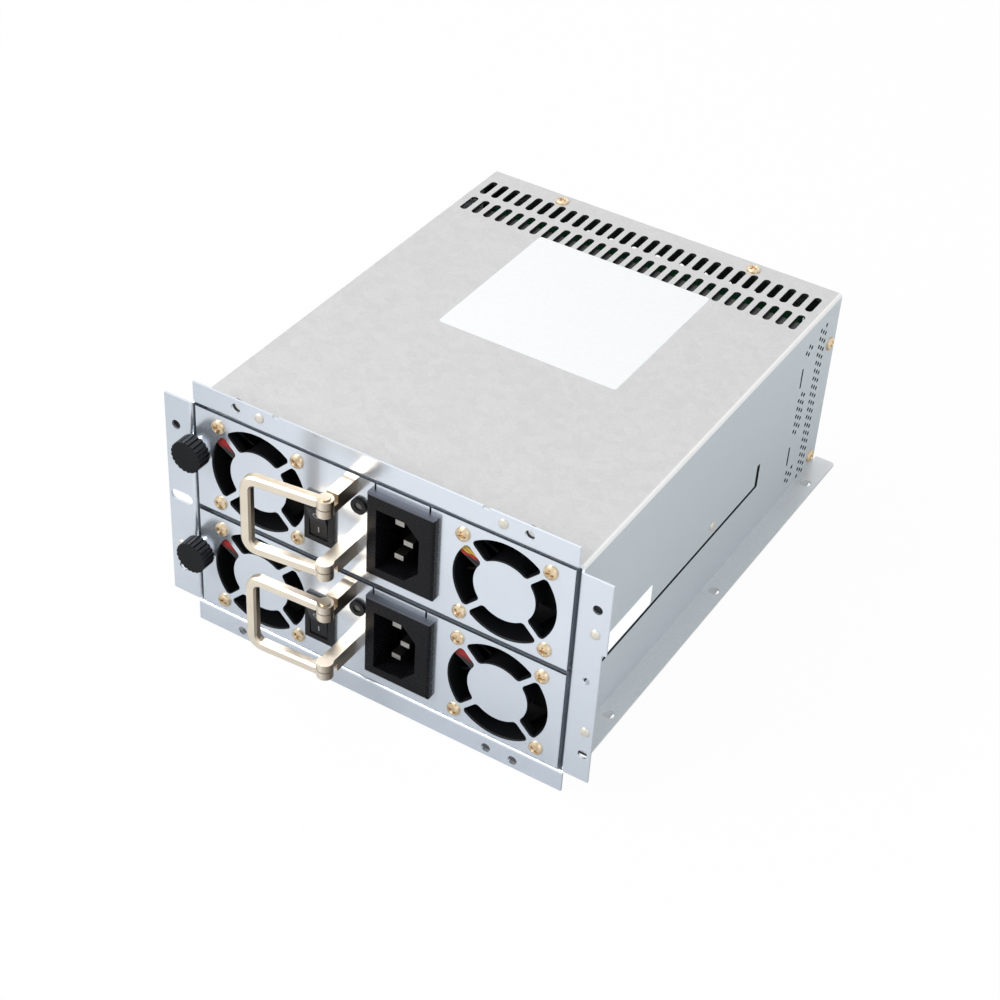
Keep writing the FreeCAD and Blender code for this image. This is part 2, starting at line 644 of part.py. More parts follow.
def make_bushing():
    """Edge bushing of the output opening: a frame that lines the hole, with a lip outside."""
    body = new_body("outlet_bushing")
    front = s.housing_depth - s.housing_sheet
    for start, depth, grow in ((front - s.bushing_lip, s.bushing_lip * 2 + s.housing_sheet, 0),
                               (s.housing_depth, s.bushing_lip, s.bushing_lip)):
        ring = sketch(body, "XZ", offset=-start)
        centred(ring, s.outlet_x, 0, s.outlet_width + 2 * Size.of(grow), s.outlet_height + 2 * Size.of(grow))
        centred(ring, s.outlet_x, 0, s.outlet_width - 2 * s.bushing_wall,
                s.outlet_height - 2 * s.bushing_wall)
        pad(body, ring, depth, True)
    return node(body, "outlet_bushing")


def screw(axis, sign, x, y, z, head_radius, head_height, radius, length):
    """A pan head on a surface with its shank going in; sign is the way the head stands off."""
    shift = {"x": (1, 0, 0), "y": (0, 1, 0), "z": (0, 0, 1)}[axis]
    head_start = Size.of(0) if sign > 0 else -head_height
    shank_start = -length if sign > 0 else Size.of(0)
    spot = [Size.of(c) for c in (x, y, z)]
    head = rod(axis, head_radius, head_height, *(c + head_start * k for c, k in zip(spot, shift)))
    shank = prism(axis, 8, radius, length, *(c + shank_start * k for c, k in zip(spot, shift)))
    return fuse(head, shank)


def make_housing_screws():
    rear_y = s.housing_depth - s.rear_screw_inset
    size = (s.screw_head_radius, s.screw_head_height, s.screw_radius * 0.98, s.housing_sheet * 3)
    screws = [screw("z", 1, side * s.roof_screw_x, rear_y, half_height, *size) for side in (-1, 1)]
    for side in (-1, 1):
        screws += [screw("x", side, side * half_width, rear_y, z, *size) for z in side_screws]
        screws.append(screw("x", side, side * half_width, s.shelf_rivet_y, -(s.shelf_lip / 2),
                            s.rivet_radius, s.rivet_height, s.screw_radius * 0.98, s.housing_sheet * 1.9))
    return node(group(screws), "housing_screws")


def make_flange_rivets():
    size = (s.rivet_radius, s.rivet_height, s.rivet_radius * 0.7, s.housing_sheet * 1.5)
    spots = [(side * rivet_x, lip_bolt_z) for side in (-1, 1)]
    spots += [(side * ear_bolt_x, level * ear_rivet_z) for side in (-1, 1) for level in (-1, 1)]
    return node(group([screw("y", -1, x, 0, z, *size) for x, z in spots]), "flange_rivets")


def make_nut_plates():
    """Tapped tabs welded to the left wall, one behind each thumbscrew."""
    plates = []
    for level in (1, -1):
        z = level * module_centre + s.thumb_z
        half = s.nut_plate_half_height
        tab = box(-wall_inner, -(body_left + s.bay_gap), s.nut_plate_y, s.nut_plate_y + s.nut_plate_thickness,
                  z - half, z + half)
        bore = rod("y", s.shank_radius + s.running_gap, s.nut_plate_thickness * 3, thumb_x,
                   s.nut_plate_y - s.nut_plate_thickness, z)
        plates.append(cut(tab, bore))
    return node(group(plates), "nut_plates")


def make_backplane():
    rear = backplane_front + s.board_thickness
    board = box(-backplane_half_width, backplane_half_width, backplane_front, rear, -backplane_half_height,
                backplane_half_height)
    corners = [(i * (backplane_half_width - 6), k * (backplane_half_height - 6))
               for i in (-1, 1) for k in (-1, 1)]
    node(board, "backplane_board")
    node(group([prism("y", 6, s.standoff_radius, s.backplane_gap, x, rear, z) for x, z in corners]),
         "backplane_standoffs")
    sockets = []
    for level in (1, -1):
        z = level * module_centre + edge_z
        front = backplane_front - s.socket_depth
        shell = box(-s.socket_half_width, s.socket_half_width, front, backplane_front,
                    z - s.socket_half_height, z + s.socket_half_height)
        room = s.edge_thickness / 2 + s.module_slide_slack
        mouth = box(-(s.edge_half_width + s.module_slide_slack), s.edge_half_width + s.module_slide_slack,
                    front - 1, backplane_front - 1, z - room, z + room)
        sockets.append(cut(shell, mouth))
    node(group(sockets), "backplane_sockets")


# Modules

def in_module(target, level, x=0, y=0, z=0):
    """Places a piece that was made about the module's own centre line."""
    if target.TypeId == "Part::Box" or target.TypeId == "Part::Cylinder":
        target = group([target])
    return place(target, x, y, level * module_centre + z)


def guard_slots(body, fan_x):
    """Four arc-shaped slots round a plain disc: the finger guard punched in the face."""
    arc_slot = sketch(body, "XZ", along=fan_x)
    normal = Vector(0, 0, 1)
    half_spoke = number(s.guard_spoke) / 2
    arcs = []
    for radius in (guard_outer, guard_inner):
        r = number(radius)
        margin = math.asin(half_spoke / r)
        shape = Part.ArcOfCircle(Part.Circle(Vector(), normal, r), margin - math.pi / 4, math.pi / 4 - margin)
        arcs.append(arc_slot.addGeometry(shape, False))
        arc_slot.addConstraint(Sketcher.Constraint("Coincident", arcs[-1], 3, -1, 1))
        hold(arc_slot, "Radius", arcs[-1], radius)
    outer, inner = (arc_slot.Geometry[i] for i in arcs)
    for end, sign in ((1, -1), (2, 1)):
        a = inner.StartPoint if end == 1 else inner.EndPoint
        b = outer.StartPoint if end == 1 else outer.EndPoint
        line = arc_slot.addGeometry(Part.LineSegment(a, b), False)
        arc_slot.addConstraint(Sketcher.Constraint("Coincident", line, 1, arcs[1], end))
        arc_slot.addConstraint(Sketcher.Constraint("Coincident", line, 2, arcs[0], end))
        arc_slot.addConstraint(Sketcher.Constraint("Angle", line, sign * math.pi / 4))
        hold(arc_slot, "Distance", -1, 1, line, s.guard_spoke / 2)
    ring_of(body, pocket(body, arc_slot, s.module_sheet * 3, both_ways=True), arc_slot, 4)


def make_tray(prefix, level):
    """Folded tray: the punched face, floor, side walls and rear wall of a module."""
    body = new_body(prefix + "_tray")
    half = module_half_height
    face = sketch(body, "XZ")
    rectangle(face, -module_right, module_right, -half, half)
    pad(body, face, s.module_sheet, True)
    channel = sketch(body, "XZ")
    left = -body_left
    outline(channel, [(left, -half), (module_right, -half), (module_right, tray_top),
                      (module_right - s.module_sheet, tray_top), (module_right - s.module_sheet, tray_floor),
                      (left + s.module_sheet, tray_floor), (left + s.module_sheet, tray_top),
                      (left, tray_top)])
    pad(body, channel, module_depth, True)
    rear = sketch(body, "XZ", offset=s.module_sheet - module_depth)
    rectangle(rear, left, module_right, -half, tray_top)
    pad(body, rear, s.module_sheet, True)
    ferrule = sketch(body, "XZ")
    circle(ferrule, thumb_x, s.thumb_z, s.ferrule_radius)
    pad(body, ferrule, s.ferrule_height)
    studs = sketch(body, "XY", offset=tray_floor)
    for x, y in board_corners():
        circle(studs, x, y, s.standoff_radius)
    pad(body, studs, s.board_gap)
    round_edges(body, s.module_sheet * 0.75, lambda mid, along, length: near(mid.y, 0) and (
        (near(mid.x, module_right) and length > number(half)) or
        (near(mid.z, -half) and length > number(half_width))))
    openings = sketch(body, "XZ")
    centred(openings, inlet_x, s.inlet_z, s.inlet_body_width, s.inlet_body_height)
    centred(openings, switch_x, s.switch_z, s.switch_width - 2 * s.switch_wall,
            s.switch_height - 2 * s.switch_wall)
    circle(openings, lamp_x, lamp_z, s.lamp_radius + s.lamp_wall + s.running_gap)
    for fan_x in (left_fan_x, right_fan_x):
        for i in (-1, 1):
            for k in (-1, 1):
                circle(openings, fan_x + i * fan_pitch / 2, k * fan_pitch / 2, s.fan_hole_radius)
    for k in (-1, 1):
        circle(openings, hinge_x, s.handle_z + k * post_middle(), s.post_stud_radius)
    tab = s.bezel_width * 0.4
    for k in (-1, 1):
        x = inlet_x - 0.8 + k * tab
        rectangle(openings, x - 0.35, x + 0.35, s.inlet_z + s.inlet_body_height / 2 + 0.6, half + 1)
    pocket(body, openings, s.module_sheet * 3, both_ways=True)
    shank_hole = sketch(body, "XZ")
    circle(shank_hole, thumb_x, s.thumb_z, s.shank_radius + s.running_gap * 2)
    pocket(body, shank_hole, s.ferrule_height * 3, both_ways=True)
    for fan_x in (left_fan_x, right_fan_x):
        guard_slots(body, fan_x)
    round_edges(body, s.guard_corner, lambda mid, along, length: abs(along.y) > 0.99 and is_guard_corner(mid))
    edge_window = sketch(body, "XZ", offset=-module_depth)
    centred(edge_window, 0, edge_z, s.edge_half_width * 2 + 3, s.socket_half_height * 2)
    pocket(body, edge_window, s.module_sheet * 4, both_ways=True)
    vents = sketch(body, "XZ", offset=-module_depth)
    slot(vents, -s.vent_pitch * 5, module_half_height * 0.4, s.vent_length * 0.8, s.vent_radius)
    row_of(body, pocket(body, vents, s.module_sheet * 4, both_ways=True), vents, "H_Axis", 11, s.vent_pitch)
    return node(in_module(body, level), prefix + "_tray")


def is_guard_corner(mid):
    """True for an upright corner edge of an arc slot."""
    for fan_x in (left_fan_x, right_fan_x):
        r = math.hypot(mid.x - number(fan_x), mid.z)
        if near(r, guard_outer) or near(r, guard_inner):
            return True
    return False


def board_corners():
    front = s.board_front + 5
    rear = module_depth - s.board_rear - 5
    return [(x, y) for x in (6 - body_left, module_right - 8) for y in (front, rear)]


def post_middle():
    """Height of a post's middle above or below the handle's middle."""
    return handle_half_height - s.eye_height / 2


def make_lid(prefix, level):
    """Flat lid with two lips inside the tray's side walls."""
    body = new_body(prefix + "_lid")
    top = module_half_height
    left = -body_left
    lip_left = left + s.module_sheet
    lip_right = module_right - s.module_sheet
    profile = sketch(body, "XZ", offset=-s.module_sheet)
    lip = tray_top - s.board_gap
    outline(profile, [(left, tray_top), (left, top), (module_right, top), (module_right, tray_top),
                      (lip_right, tray_top), (lip_right, lip), (lip_right - s.module_sheet, lip),
                      (lip_right - s.module_sheet, tray_top), (lip_left + s.module_sheet, tray_top),
                      (lip_left + s.module_sheet, lip), (lip_left, lip), (lip_left, tray_top)])
    pad(body, profile, module_depth - s.module_sheet, True)
    front_room = sketch(body, "XY")
    rectangle(front_room, left, module_right, 0, s.fan_depth + 3 * s.module_sheet)
    rectangle(front_room, left, module_right, module_depth - 1.5 * s.module_sheet, module_depth + 1)
    pocket(body, front_room, tray_top, True)
    vents = sketch(body, "XY")
    slot(vents, -s.vent_pitch * 5, module_depth * 0.8, s.vent_length, s.vent_radius)
    row_of(body, pocket(body, vents, s.housing_height, True), vents, "H_Axis", 11, s.vent_pitch)
    return node(in_module(body, level), prefix + "_lid")


BLADE_PITCH = math.radians(42)
BLADE_HALF_SPAN = math.radians(26)


def cambered_blade(drawing, middle):
    """Section of a fan blade: a strip between two concentric arcs, set at the blade's pitch."""
    facing = -BLADE_PITCH
    centre = (middle - s.camber_radius * (math.cos(facing) * math.cos(BLADE_HALF_SPAN)),
              -s.camber_radius * (math.sin(facing) * math.cos(BLADE_HALF_SPAN)))
    spot = Vector(number(centre[0]), number(centre[1]), 0)
    angles = (facing - BLADE_HALF_SPAN, facing + BLADE_HALF_SPAN)
    arcs = []
    for radius in (s.camber_radius, s.camber_radius + s.blade_thickness):
        whole = Part.Circle(spot, Vector(0, 0, 1), number(radius))
        arc = drawing.addGeometry(Part.ArcOfCircle(whole, *angles), False)
        arcs.append(arc)
        hold_point(drawing, arc, 3, *centre)
        hold(drawing, "Radius", arc, radius)
        for end, angle in zip((1, 2), angles):
            hold(drawing, "DistanceY", -1, 1, arc, end, centre[1] + radius * math.sin(angle))
    for end in (1, 2):
        points = [drawing.getPoint(arc, end) for arc in arcs]
        line = drawing.addGeometry(Part.LineSegment(*points), False)
        drawing.addConstraint(Sketcher.Constraint("Coincident", line, 1, arcs[0], end))
        drawing.addConstraint(Sketcher.Constraint("Coincident", line, 2, arcs[1], end))


def make_fan(prefix, level, side, fan_x):
    """Square fan frame with a four-armed motor mount in front, and the rotor that turns in it."""
    frame = new_body("%s_%s_fan_frame" % (prefix, side))
    ring = sketch(frame, "XZ")
    centred(ring, Size.of(0), Size.of(0), fan_size, fan_size)
    circle(ring, 0, 0, fan_bore)
    for i in (-1, 1):
        for k in (-1, 1):
            circle(ring, i * fan_pitch / 2, k * fan_pitch / 2, s.fan_hole_radius)
    pad(frame, ring, s.fan_depth, True)
    mount = sketch(frame, "XZ")
    circle(mount, 0, 0, motor_radius)
    pad(frame, mount, s.strut_depth, True)
    strut = sketch(frame, "XZ")
    corners = [(u, v * s.strut_width / 2) for u, v in ((motor_radius * 0.9, -1), (fan_bore + 0.3, -1),
                                                       (fan_bore + 0.3, 1), (motor_radius * 0.9, 1))]
    diagonal = math.sqrt(0.5)
    outline(strut, [((u - v) * diagonal, (u + v) * diagonal) for u, v in corners])
    ring_of(frame, pad(frame, strut, s.strut_depth, True), strut, 4)
    waist = sketch(frame, "XZ", offset=-s.fan_depth * 0.2)
    centred(waist, Size.of(0), Size.of(0), fan_size + 2, fan_size + 2)
    circle(waist, 0, 0, fan_size / 2 + 0.6)
    pocket(frame, waist, s.fan_depth * 0.6)
    bearing = sketch(frame, "XZ")
    circle(bearing, 0, 0, s.axle_radius + s.running_gap)
    pocket(frame, bearing, s.strut_depth * 3, both_ways=True)
    channel = sketch(frame, "XZ")
    high = (fan_size / 2 - 0.9) * abs(math.tan(LEAD_ANGLE))
    rectangle(channel, -(fan_size / 2 + 1), -fan_bore * 0.64, high - 3.8, high + 2.8)
    pocket(frame, channel, s.fan_depth * 3, both_ways=True)
    node(in_module(frame, level, fan_x, fan_front), "%s_%s_fan_frame" % (prefix, side))

    rotor = new_body("%s_%s_fan_rotor" % (prefix, side))
    hub_start = s.strut_depth + s.axial_gap
    hub = sketch(rotor, "XZ", offset=-hub_start)
    circle(hub, 0, 0, hub_radius)
    pad(rotor, hub, s.hub_length, True)
    axle = sketch(rotor, "XZ", offset=-s.axial_gap)
    circle(axle, 0, 0, s.axle_radius)
    pad(rotor, axle, s.strut_depth, True)
    blade = sketch(rotor, "YZ", offset=hub_radius * 0.95)
    cambered_blade(blade, hub_start + s.hub_length / 2)
    vane = pad(rotor, blade, blade_tip - hub_radius * 0.95)
    ring_of(rotor, vane, hub, s.blade_count)
    node(in_module(rotor, level, fan_x, fan_front), "%s_%s_fan_rotor" % (prefix, side))


def make_fan_screws(prefix, level):
    size = (s.screw_head_radius, s.screw_head_height, s.fan_hole_radius * 0.97, s.fan_depth * 0.2)
    screws = [screw("y", -1, fan_x + i * fan_pitch / 2, 0, k * fan_pitch / 2, *size)
              for fan_x in (left_fan_x, right_fan_x) for i in (-1, 1) for k in (-1, 1)]
    node(in_module(group(screws), level), prefix + "_fan_screws")


LEAD_ANGLE = math.radians(150)


def make_fan_leads(prefix, level):
    """Three leads for each fan: from the motor mount to the frame's channel and back to the board."""
    cos, sin = math.cos(LEAD_ANGLE), math.sin(LEAD_ANGLE)
    y = fan_front + s.lead_radius + 0.1
    solids = []
    for fan_x in (left_fan_x, right_fan_x):
        for lane in (-1, 0, 1):
            side = s.lead_radius * (2.1 * lane)
            start_x = (motor_radius + 0.2) * cos - side * sin
            start_z = (motor_radius + 0.2) * sin + side * cos
            reach = (fan_size / 2 - 0.3 - s.lead_radius + start_x) / -cos
            corner_x, corner_z = fan_x + start_x + reach * cos, start_z + reach * sin
            outward = doc.addObject("Part::Cylinder", unique("lead"))
            tie(outward, "Radius", s.lead_radius)
            tie(outward, "Height", reach)
            outward.Placement = Placement(Vector(), Rotation(Vector(0, 0, 1), Vector(cos, 0, sin)))
            place(outward, fan_x + start_x, y, start_z)
            elbow = doc.addObject("Part::Sphere", unique("elbow"))
            tie(elbow, "Radius", s.lead_radius)
            place(elbow, corner_x, y, corner_z)
            back = rod("y", s.lead_radius, s.board_front - y + 3, corner_x, y, corner_z)
            solids.append(fuse(outward, elbow, back))
    node(in_module(group(solids), level), prefix + "_fan_leads")


def make_inlet(prefix, level):
    """Appliance inlet turned on end: bezel, body and the six-sided recess for the connector."""
    body = new_body(prefix + "_inlet")
    bezel = sketch(body, "XZ")
    centred(bezel, inlet_x, s.inlet_z, s.bezel_width, s.bezel_height)
    pad(body, bezel, s.bezel_depth)
    round_edges(body, s.bezel_depth * 0.4, lambda mid, along, length: near(mid.y, -s.bezel_depth))
    shell = sketch(body, "XZ")
    centred(shell, inlet_x, s.inlet_z, s.inlet_body_width, s.inlet_body_height)
    pad(body, shell, s.inlet_body_depth, True)
    recess = sketch(body, "XZ", offset=s.bezel_depth)
    w, tall, c = s.recess_width / 2, s.recess_height / 2, s.recess_chamfer
    x, z = recess_x, s.recess_z
    outline(recess, [(x - w, z - tall), (x + w - c, z - tall), (x + w, z - tall + c), (x + w, z + tall - c),
                     (x + w - c, z + tall), (x - w, z + tall)])
    pocket(body, recess, s.recess_depth)
    pins = sketch(body, "XZ")
    for px, pz in pin_places():
        centred(pins, px, pz, s.pin_width, s.pin_thickness)
    pocket(body, pins, s.inlet_body_depth * 2, both_ways=True)
    node(in_module(body, level), prefix + "_inlet")
    start = s.pin_setback - s.bezel_depth
    end = s.inlet_body_depth + s.pin_tail
    blades = [box(px - s.pin_width / 2, px + s.pin_width / 2, start, end, pz - s.pin_thickness / 2,
                  pz + s.pin_thickness / 2) for px, pz in pin_places()]
    node(in_module(group(blades), level), prefix + "_inlet_pins")


def pin_places():
    """Two live pins one above the other, and the earth pin between them on the chamfered side."""
    line_x = recess_x - s.pin_offset / 2
    earth_x = recess_x + s.pin_offset / 2
    reach = s.pin_pitch / 2
    return [(line_x, s.recess_z + reach), (earth_x, s.recess_z), (line_x, s.recess_z - reach)]


def make_switch(prefix, level):
    """Rocker switch: a framed body with an axle hole, and the two-position rocker."""
    body = new_body(prefix + "_switch_frame")
    lip = sketch(body, "XZ")
    centred(lip, switch_x, s.switch_z, s.switch_width, s.switch_height)
    pad(body, lip, s.switch_lip)
    inner_width = s.switch_width - 2 * s.switch_wall
    inner_height = s.switch_height - 2 * s.switch_wall
    shell = sketch(body, "XZ")
    centred(shell, switch_x, s.switch_z, inner_width, inner_height)
    pad(body, shell, s.switch_depth, True)
    cavity = sketch(body, "XZ", offset=s.switch_lip)
    centred(cavity, switch_x, s.switch_z, inner_width - 2 * s.rocker_gap - 0.6,
            inner_height - 2 * s.rocker_gap - 0.6)
    pocket(body, cavity, s.switch_lip + s.switch_depth * 0.5)
    axle_hole = sketch(body, "YZ")
    circle(axle_hole, s.rocker_pivot_depth, s.switch_z, s.rocker_axle + s.running_gap)
    pocket(body, axle_hole, (inner_width / 2 - switch_x) * 2, both_ways=True)
    node(in_module(body, level), prefix + "_switch_frame")

    rocker = new_body(prefix + "_rocker")
    reach = inner_height / 2 - 2 * s.rocker_gap - 0.6
    thick = inner_width - 4 * s.rocker_gap - 0.6
    front = -(s.rocker_pivot_depth + s.switch_lip + s.rocker_rise * 0.4)
    profile = sketch(rocker, "YZ", offset=-(thick / 2))
    outline(profile, [(front + 0.9, 0), (front, reach), (front + 2.6, reach), (2.2, reach * 0.45),
                      (2.2, -reach * 0.45), (front + 2.6, -reach), (front, -reach)])
    pad(rocker, profile, thick)
    axle = sketch(rocker, "YZ", offset=-(inner_width / 2))
    circle(axle, 0, 0, s.rocker_axle)
    pad(rocker, axle, inner_width)
    rocker.Placement = Placement(Vector(), Rotation(Vector(1, 0, 0), number(s.rocker_tilt)))
    tie(rocker, "Placement.Rotation.Angle", s.rocker_tilt)
    node(in_module(rocker, level, switch_x, s.rocker_pivot_depth, s.switch_z), prefix + "_rocker")


def make_lamp(prefix, level):
    """Indicator: a round holder through the face with the lamp in it."""
    outer = rod("y", s.lamp_ring_radius, s.lamp_ring_height, 0, -s.lamp_ring_height, 0)
    barrel = rod("y", s.lamp_radius + s.lamp_wall, s.lamp_length, 0, 0, 0)
    bore = rod("y", s.lamp_radius, (s.lamp_length + s.lamp_ring_height) * 2, 0, -s.lamp_length, 0)
    holder = cut(fuse(outer, barrel), bore)
    node(in_module(holder, level, lamp_x, 0, lamp_z), prefix + "_lamp_holder")
    stem = rod("y", s.lamp_radius, s.lamp_length + 1, 0, -s.lamp_ring_height * 0.6, 0)
    node(in_module(stem, level, lamp_x, 0, lamp_z), prefix + "_lamp")


def make_handle(prefix, level, swing):
    """Folding handle: a bent bar with two eyes, which turn on pins held by the posts."""
    bail = new_body(prefix + "_handle")
    half = handle_half_height
    path = sketch(bail, "XZ")
    reach, bend = s.handle_reach, s.bar_bend
    centres = [(-reach + bend, half - bend), (-reach + bend, bend - half)]
    start = -s.eye_radius * 0.6
    top = path.addGeometry(Part.LineSegment(Vector(number(start), number(half), 0),
                                            Vector(number(bend - reach), number(half), 0)), False)
    side = path.addGeometry(Part.LineSegment(Vector(-number(reach), number(half - bend), 0),
                                             Vector(-number(reach), number(bend - half), 0)), False)
    foot = path.addGeometry(Part.LineSegment(Vector(number(bend - reach), -number(half), 0),
                                             Vector(number(start), -number(half), 0)), False)
    hold_point(path, top, 1, start, half)
    hold_point(path, foot, 2, start, -half)
    path.addConstraint(Sketcher.Constraint("Horizontal", top))
    path.addConstraint(Sketcher.Constraint("Horizontal", foot))
    path.addConstraint(Sketcher.Constraint("Vertical", side))
    hold(path, "DistanceX", -1, 1, side, 1, -reach)
    for (line, end, other, other_end), centre, angles in zip(
            ((top, 2, side, 1), (side, 2, foot, 1)), centres, ((90, 180), (180, 270))):
        spot = Vector(number(centre[0]), number(centre[1]), 0)
        shape = Part.ArcOfCircle(Part.Circle(spot, Vector(0, 0, 1), number(bend)),
                                 math.radians(angles[0]), math.radians(angles[1]))
        arc = path.addGeometry(shape, False)
        path.addConstraint(Sketcher.Constraint("Tangent", line, end, arc, 1))
        path.addConstraint(Sketcher.Constraint("Tangent", other, other_end, arc, 2))
        hold(path, "Radius", arc, s.bar_bend)
    section = sketch(bail, "YZ", offset=start)
    w, t, c = s.bar_width / 2, s.bar_thickness / 2, s.bar_chamfer
    outline(section, [(-t, half - w + c), (c - t, half - w), (t - c, half - w), (t, half - w + c),
                      (t, half + w - c), (t - c, half + w), (c - t, half + w), (-t, half + w - c)])
    pipe = bail.newObject("PartDesign::AdditivePipe", unique("bar"))
    pipe.Profile = section
    pipe.Spine = (path, [])
    for sign in (1, -1):
        eye = sketch(bail, "XY", offset=sign * (half + w))
        circle(eye, 0, 0, s.eye_radius)
        pad(bail, eye, s.eye_height, sign > 0)
        halving = sketch(bail, "XY", offset=sign * (half + w - s.eye_height))
        circle(halving, 0, 0, s.eye_radius + s.hinge_gap)
        pocket(bail, halving, s.bar_width - s.eye_height + 0.5, sign < 0)
    bore = sketch(bail, "XY")
    circle(bore, 0, 0, s.hinge_pin_radius + s.running_gap)
    pocket(bail, bore, half * 4, both_ways=True)
    bail.Placement = Placement(Vector(), Rotation(Vector(0, 0, 1), number(swing)))
    tie(bail, "Placement.Rotation.Angle", swing)
    node(in_module(bail, level, hinge_x, s.hinge_y, s.handle_z), prefix + "_handle")

    posts, pins = [], []
    for sign in (1, -1):
        outer = sign * (half + w)
        eye_inner = sign * (half + w - s.eye_height)
        tongue_outer = sign * (half + w - s.eye_height - s.hinge_gap)
        tongue_inner = sign * (half + w - s.eye_height * 2 - s.hinge_gap)
        low, high = (tongue_inner, tongue_outer) if sign > 0 else (tongue_outer, tongue_inner)
        block_low, block_high = (tongue_inner, outer) if sign > 0 else (outer, tongue_inner)
        knuckle = rod("z", s.eye_radius, high - low, 0, 0, low)
        tongue = box(-s.post_width / 2, s.post_width / 2, 0, -s.hinge_y, low, high)
        root = box(-s.post_width / 2, s.post_width / 2, s.eye_radius + s.hinge_gap * 3, -s.hinge_y,
                   block_low, block_high)
        stud = rod("y", s.post_stud_radius, s.module_sheet * 2, 0, -s.hinge_y, sign * post_middle())
        pin_hole = rod("z", s.hinge_pin_radius, (high - low) * 3, 0, 0, low - (high - low))
        posts.append(cut(fuse(knuckle, tongue, root, stud), pin_hole))
        head = 0.5
        pin_low, pin_high = (low, outer + head) if sign > 0 else (outer - head, high)
        shank = rod("z", s.hinge_pin_radius, pin_high - pin_low, 0, 0, pin_low)
        cap = rod("z", s.hinge_pin_radius * 1.5, head - 0.1, 0, 0, outer + 0.1 if sign > 0 else outer - head)
        pins.append(fuse(shank, cap))
    node(in_module(group(posts), level, hinge_x, s.hinge_y, s.handle_z), prefix + "_handle_posts")
    node(in_module(group(pins), level, hinge_x, s.hinge_y, s.handle_z), prefix + "_hinge_pins")


def make_thumbscrew(prefix, level):
    """Captive thumbscrew: a grooved knob with its shank through the ferrule and the tapped tab."""
    body = new_body(prefix + "_thumbscrew")
    knob_rear = s.ferrule_height + s.thumb_gap
    knob = sketch(body, "XZ", offset=knob_rear)
    circle(knob, 0, 0, s.knob_radius)
    pad(body, knob, s.knob_length)
    shank = sketch(body, "XZ", offset=knob_rear)
    circle(shank, 0, 0, s.shank_radius)
    pad(body, shank, knob_rear + s.shank_end, True)
    groove = sketch(body, "XZ", offset=knob_rear)
    r, d = s.knob_radius, s.knurl_depth
    outline(groove, [(r - d, 0), (r + d, -d * 1.6), (r + d, d * 1.6)])
    ring_of(body, pocket(body, groove, s.knob_length * 3, both_ways=True), groove, s.knurl_count)
    node(in_module(body, level, thumb_x, 0, s.thumb_z), prefix + "_thumbscrew")


def make_circuit(prefix, level):
    """Main board with its transformer, capacitors, heat sinks and rear edge connector."""
    rear = module_depth - s.board_rear
    board = box(3 - body_left, module_right - 3, s.board_front, rear, board_bottom, board_top)
    node(in_module(board, level), prefix + "_main_board")

    x0, y0 = s.core_x, s.board_front + s.core_start
    core = box(x0, x0 + s.core_width, y0, y0 + s.core_depth, board_top, board_top + s.core_height)
    window = box(x0 + s.core_leg, x0 + s.core_width - s.core_leg, y0 - 1, y0 + s.core_depth + 1,
                 board_top + s.core_leg, board_top + s.core_height - s.core_leg)
    winding = box(x0 + s.core_leg, x0 + s.core_width - s.core_leg, y0 - 3, y0 + s.core_depth + 3, board_top,
                  board_top + s.core_height - s.core_leg)
    transformer = fuse(cut(core, window), winding)
    node(in_module(transformer, level), prefix + "_transformer")

    bulk = [rod("z", s.bulk_radius, s.bulk_height, s.bulk_x + side * s.bulk_pitch / 2,
                s.board_front + s.bulk_start, board_top) for side in (-1, 1)]
    small = [rod("z", s.filter_radius, s.filter_height, s.filter_x + s.filter_pitch * i,
                 module_depth - s.filter_inset, board_top) for i in range(4)]
    node(in_module(group(bulk + small), level), prefix + "_capacitors")

    sinks = []
    front = s.board_front + s.sink_start
    rear_end = front + module_depth - s.sink_room
    for x, way in ((s.left_sink_inset - body_left, -1), (module_right - s.right_sink_inset, 1)):
        plate = box(x, x + s.sink_thickness, front, rear_end, board_top, board_top + s.sink_height)
        fins = []
        for i in range(int(number(s.fin_count))):
            z = board_top + 2 + (s.sink_height - 4 - s.fin_thickness) * (i / (number(s.fin_count) - 1))
            edge = x - s.fin_length if way < 0 else x + s.sink_thickness
            fins.append(box(edge, edge + s.fin_length, front, rear_end, z, z + s.fin_thickness))
        sinks.append(fuse(plate, *fins))
    node(in_module(group(sinks), level), prefix + "_heat_sinks")

    tongue = box(-s.edge_half_width, s.edge_half_width, rear, module_depth + s.edge_length,
                 edge_z - s.edge_thickness / 2, edge_z + s.edge_thickness / 2)
    shell = box(-(s.edge_half_width + 1), s.edge_half_width + 1, rear - s.connector_depth, rear, board_top,
                edge_z + s.edge_thickness)
    node(in_module(fuse(shell, tongue), level), prefix + "_edge_connector")


def make_module(prefix, level, swing):
    make_tray(prefix, level)
    make_lid(prefix, level)
    make_fan(prefix, level, "left", left_fan_x)
    make_fan(prefix, level, "right", right_fan_x)
    make_fan_screws(prefix, level)
    make_fan_leads(prefix, level)
    make_inlet(prefix, level)
    make_switch(prefix, level)
    make_lamp(prefix, level)
    make_handle(prefix, level, swing)
    make_thumbscrew(prefix, level)
    make_circuit(prefix, level)


def make_all():
    make_top_cover()
    make_base_plate()
    make_mid_shelf()
    make_rail("left_rail", -1)
    make_rail("right_rail", 1)
    make_rear_panel()
    make_bushing()
    make_housing_screws()
    make_flange_rivets()
    make_nut_plates()
    make_backplane()
    make_module("upper", 1, s.upper_handle_swing)
    make_module("lower", -1, s.lower_handle_swing)


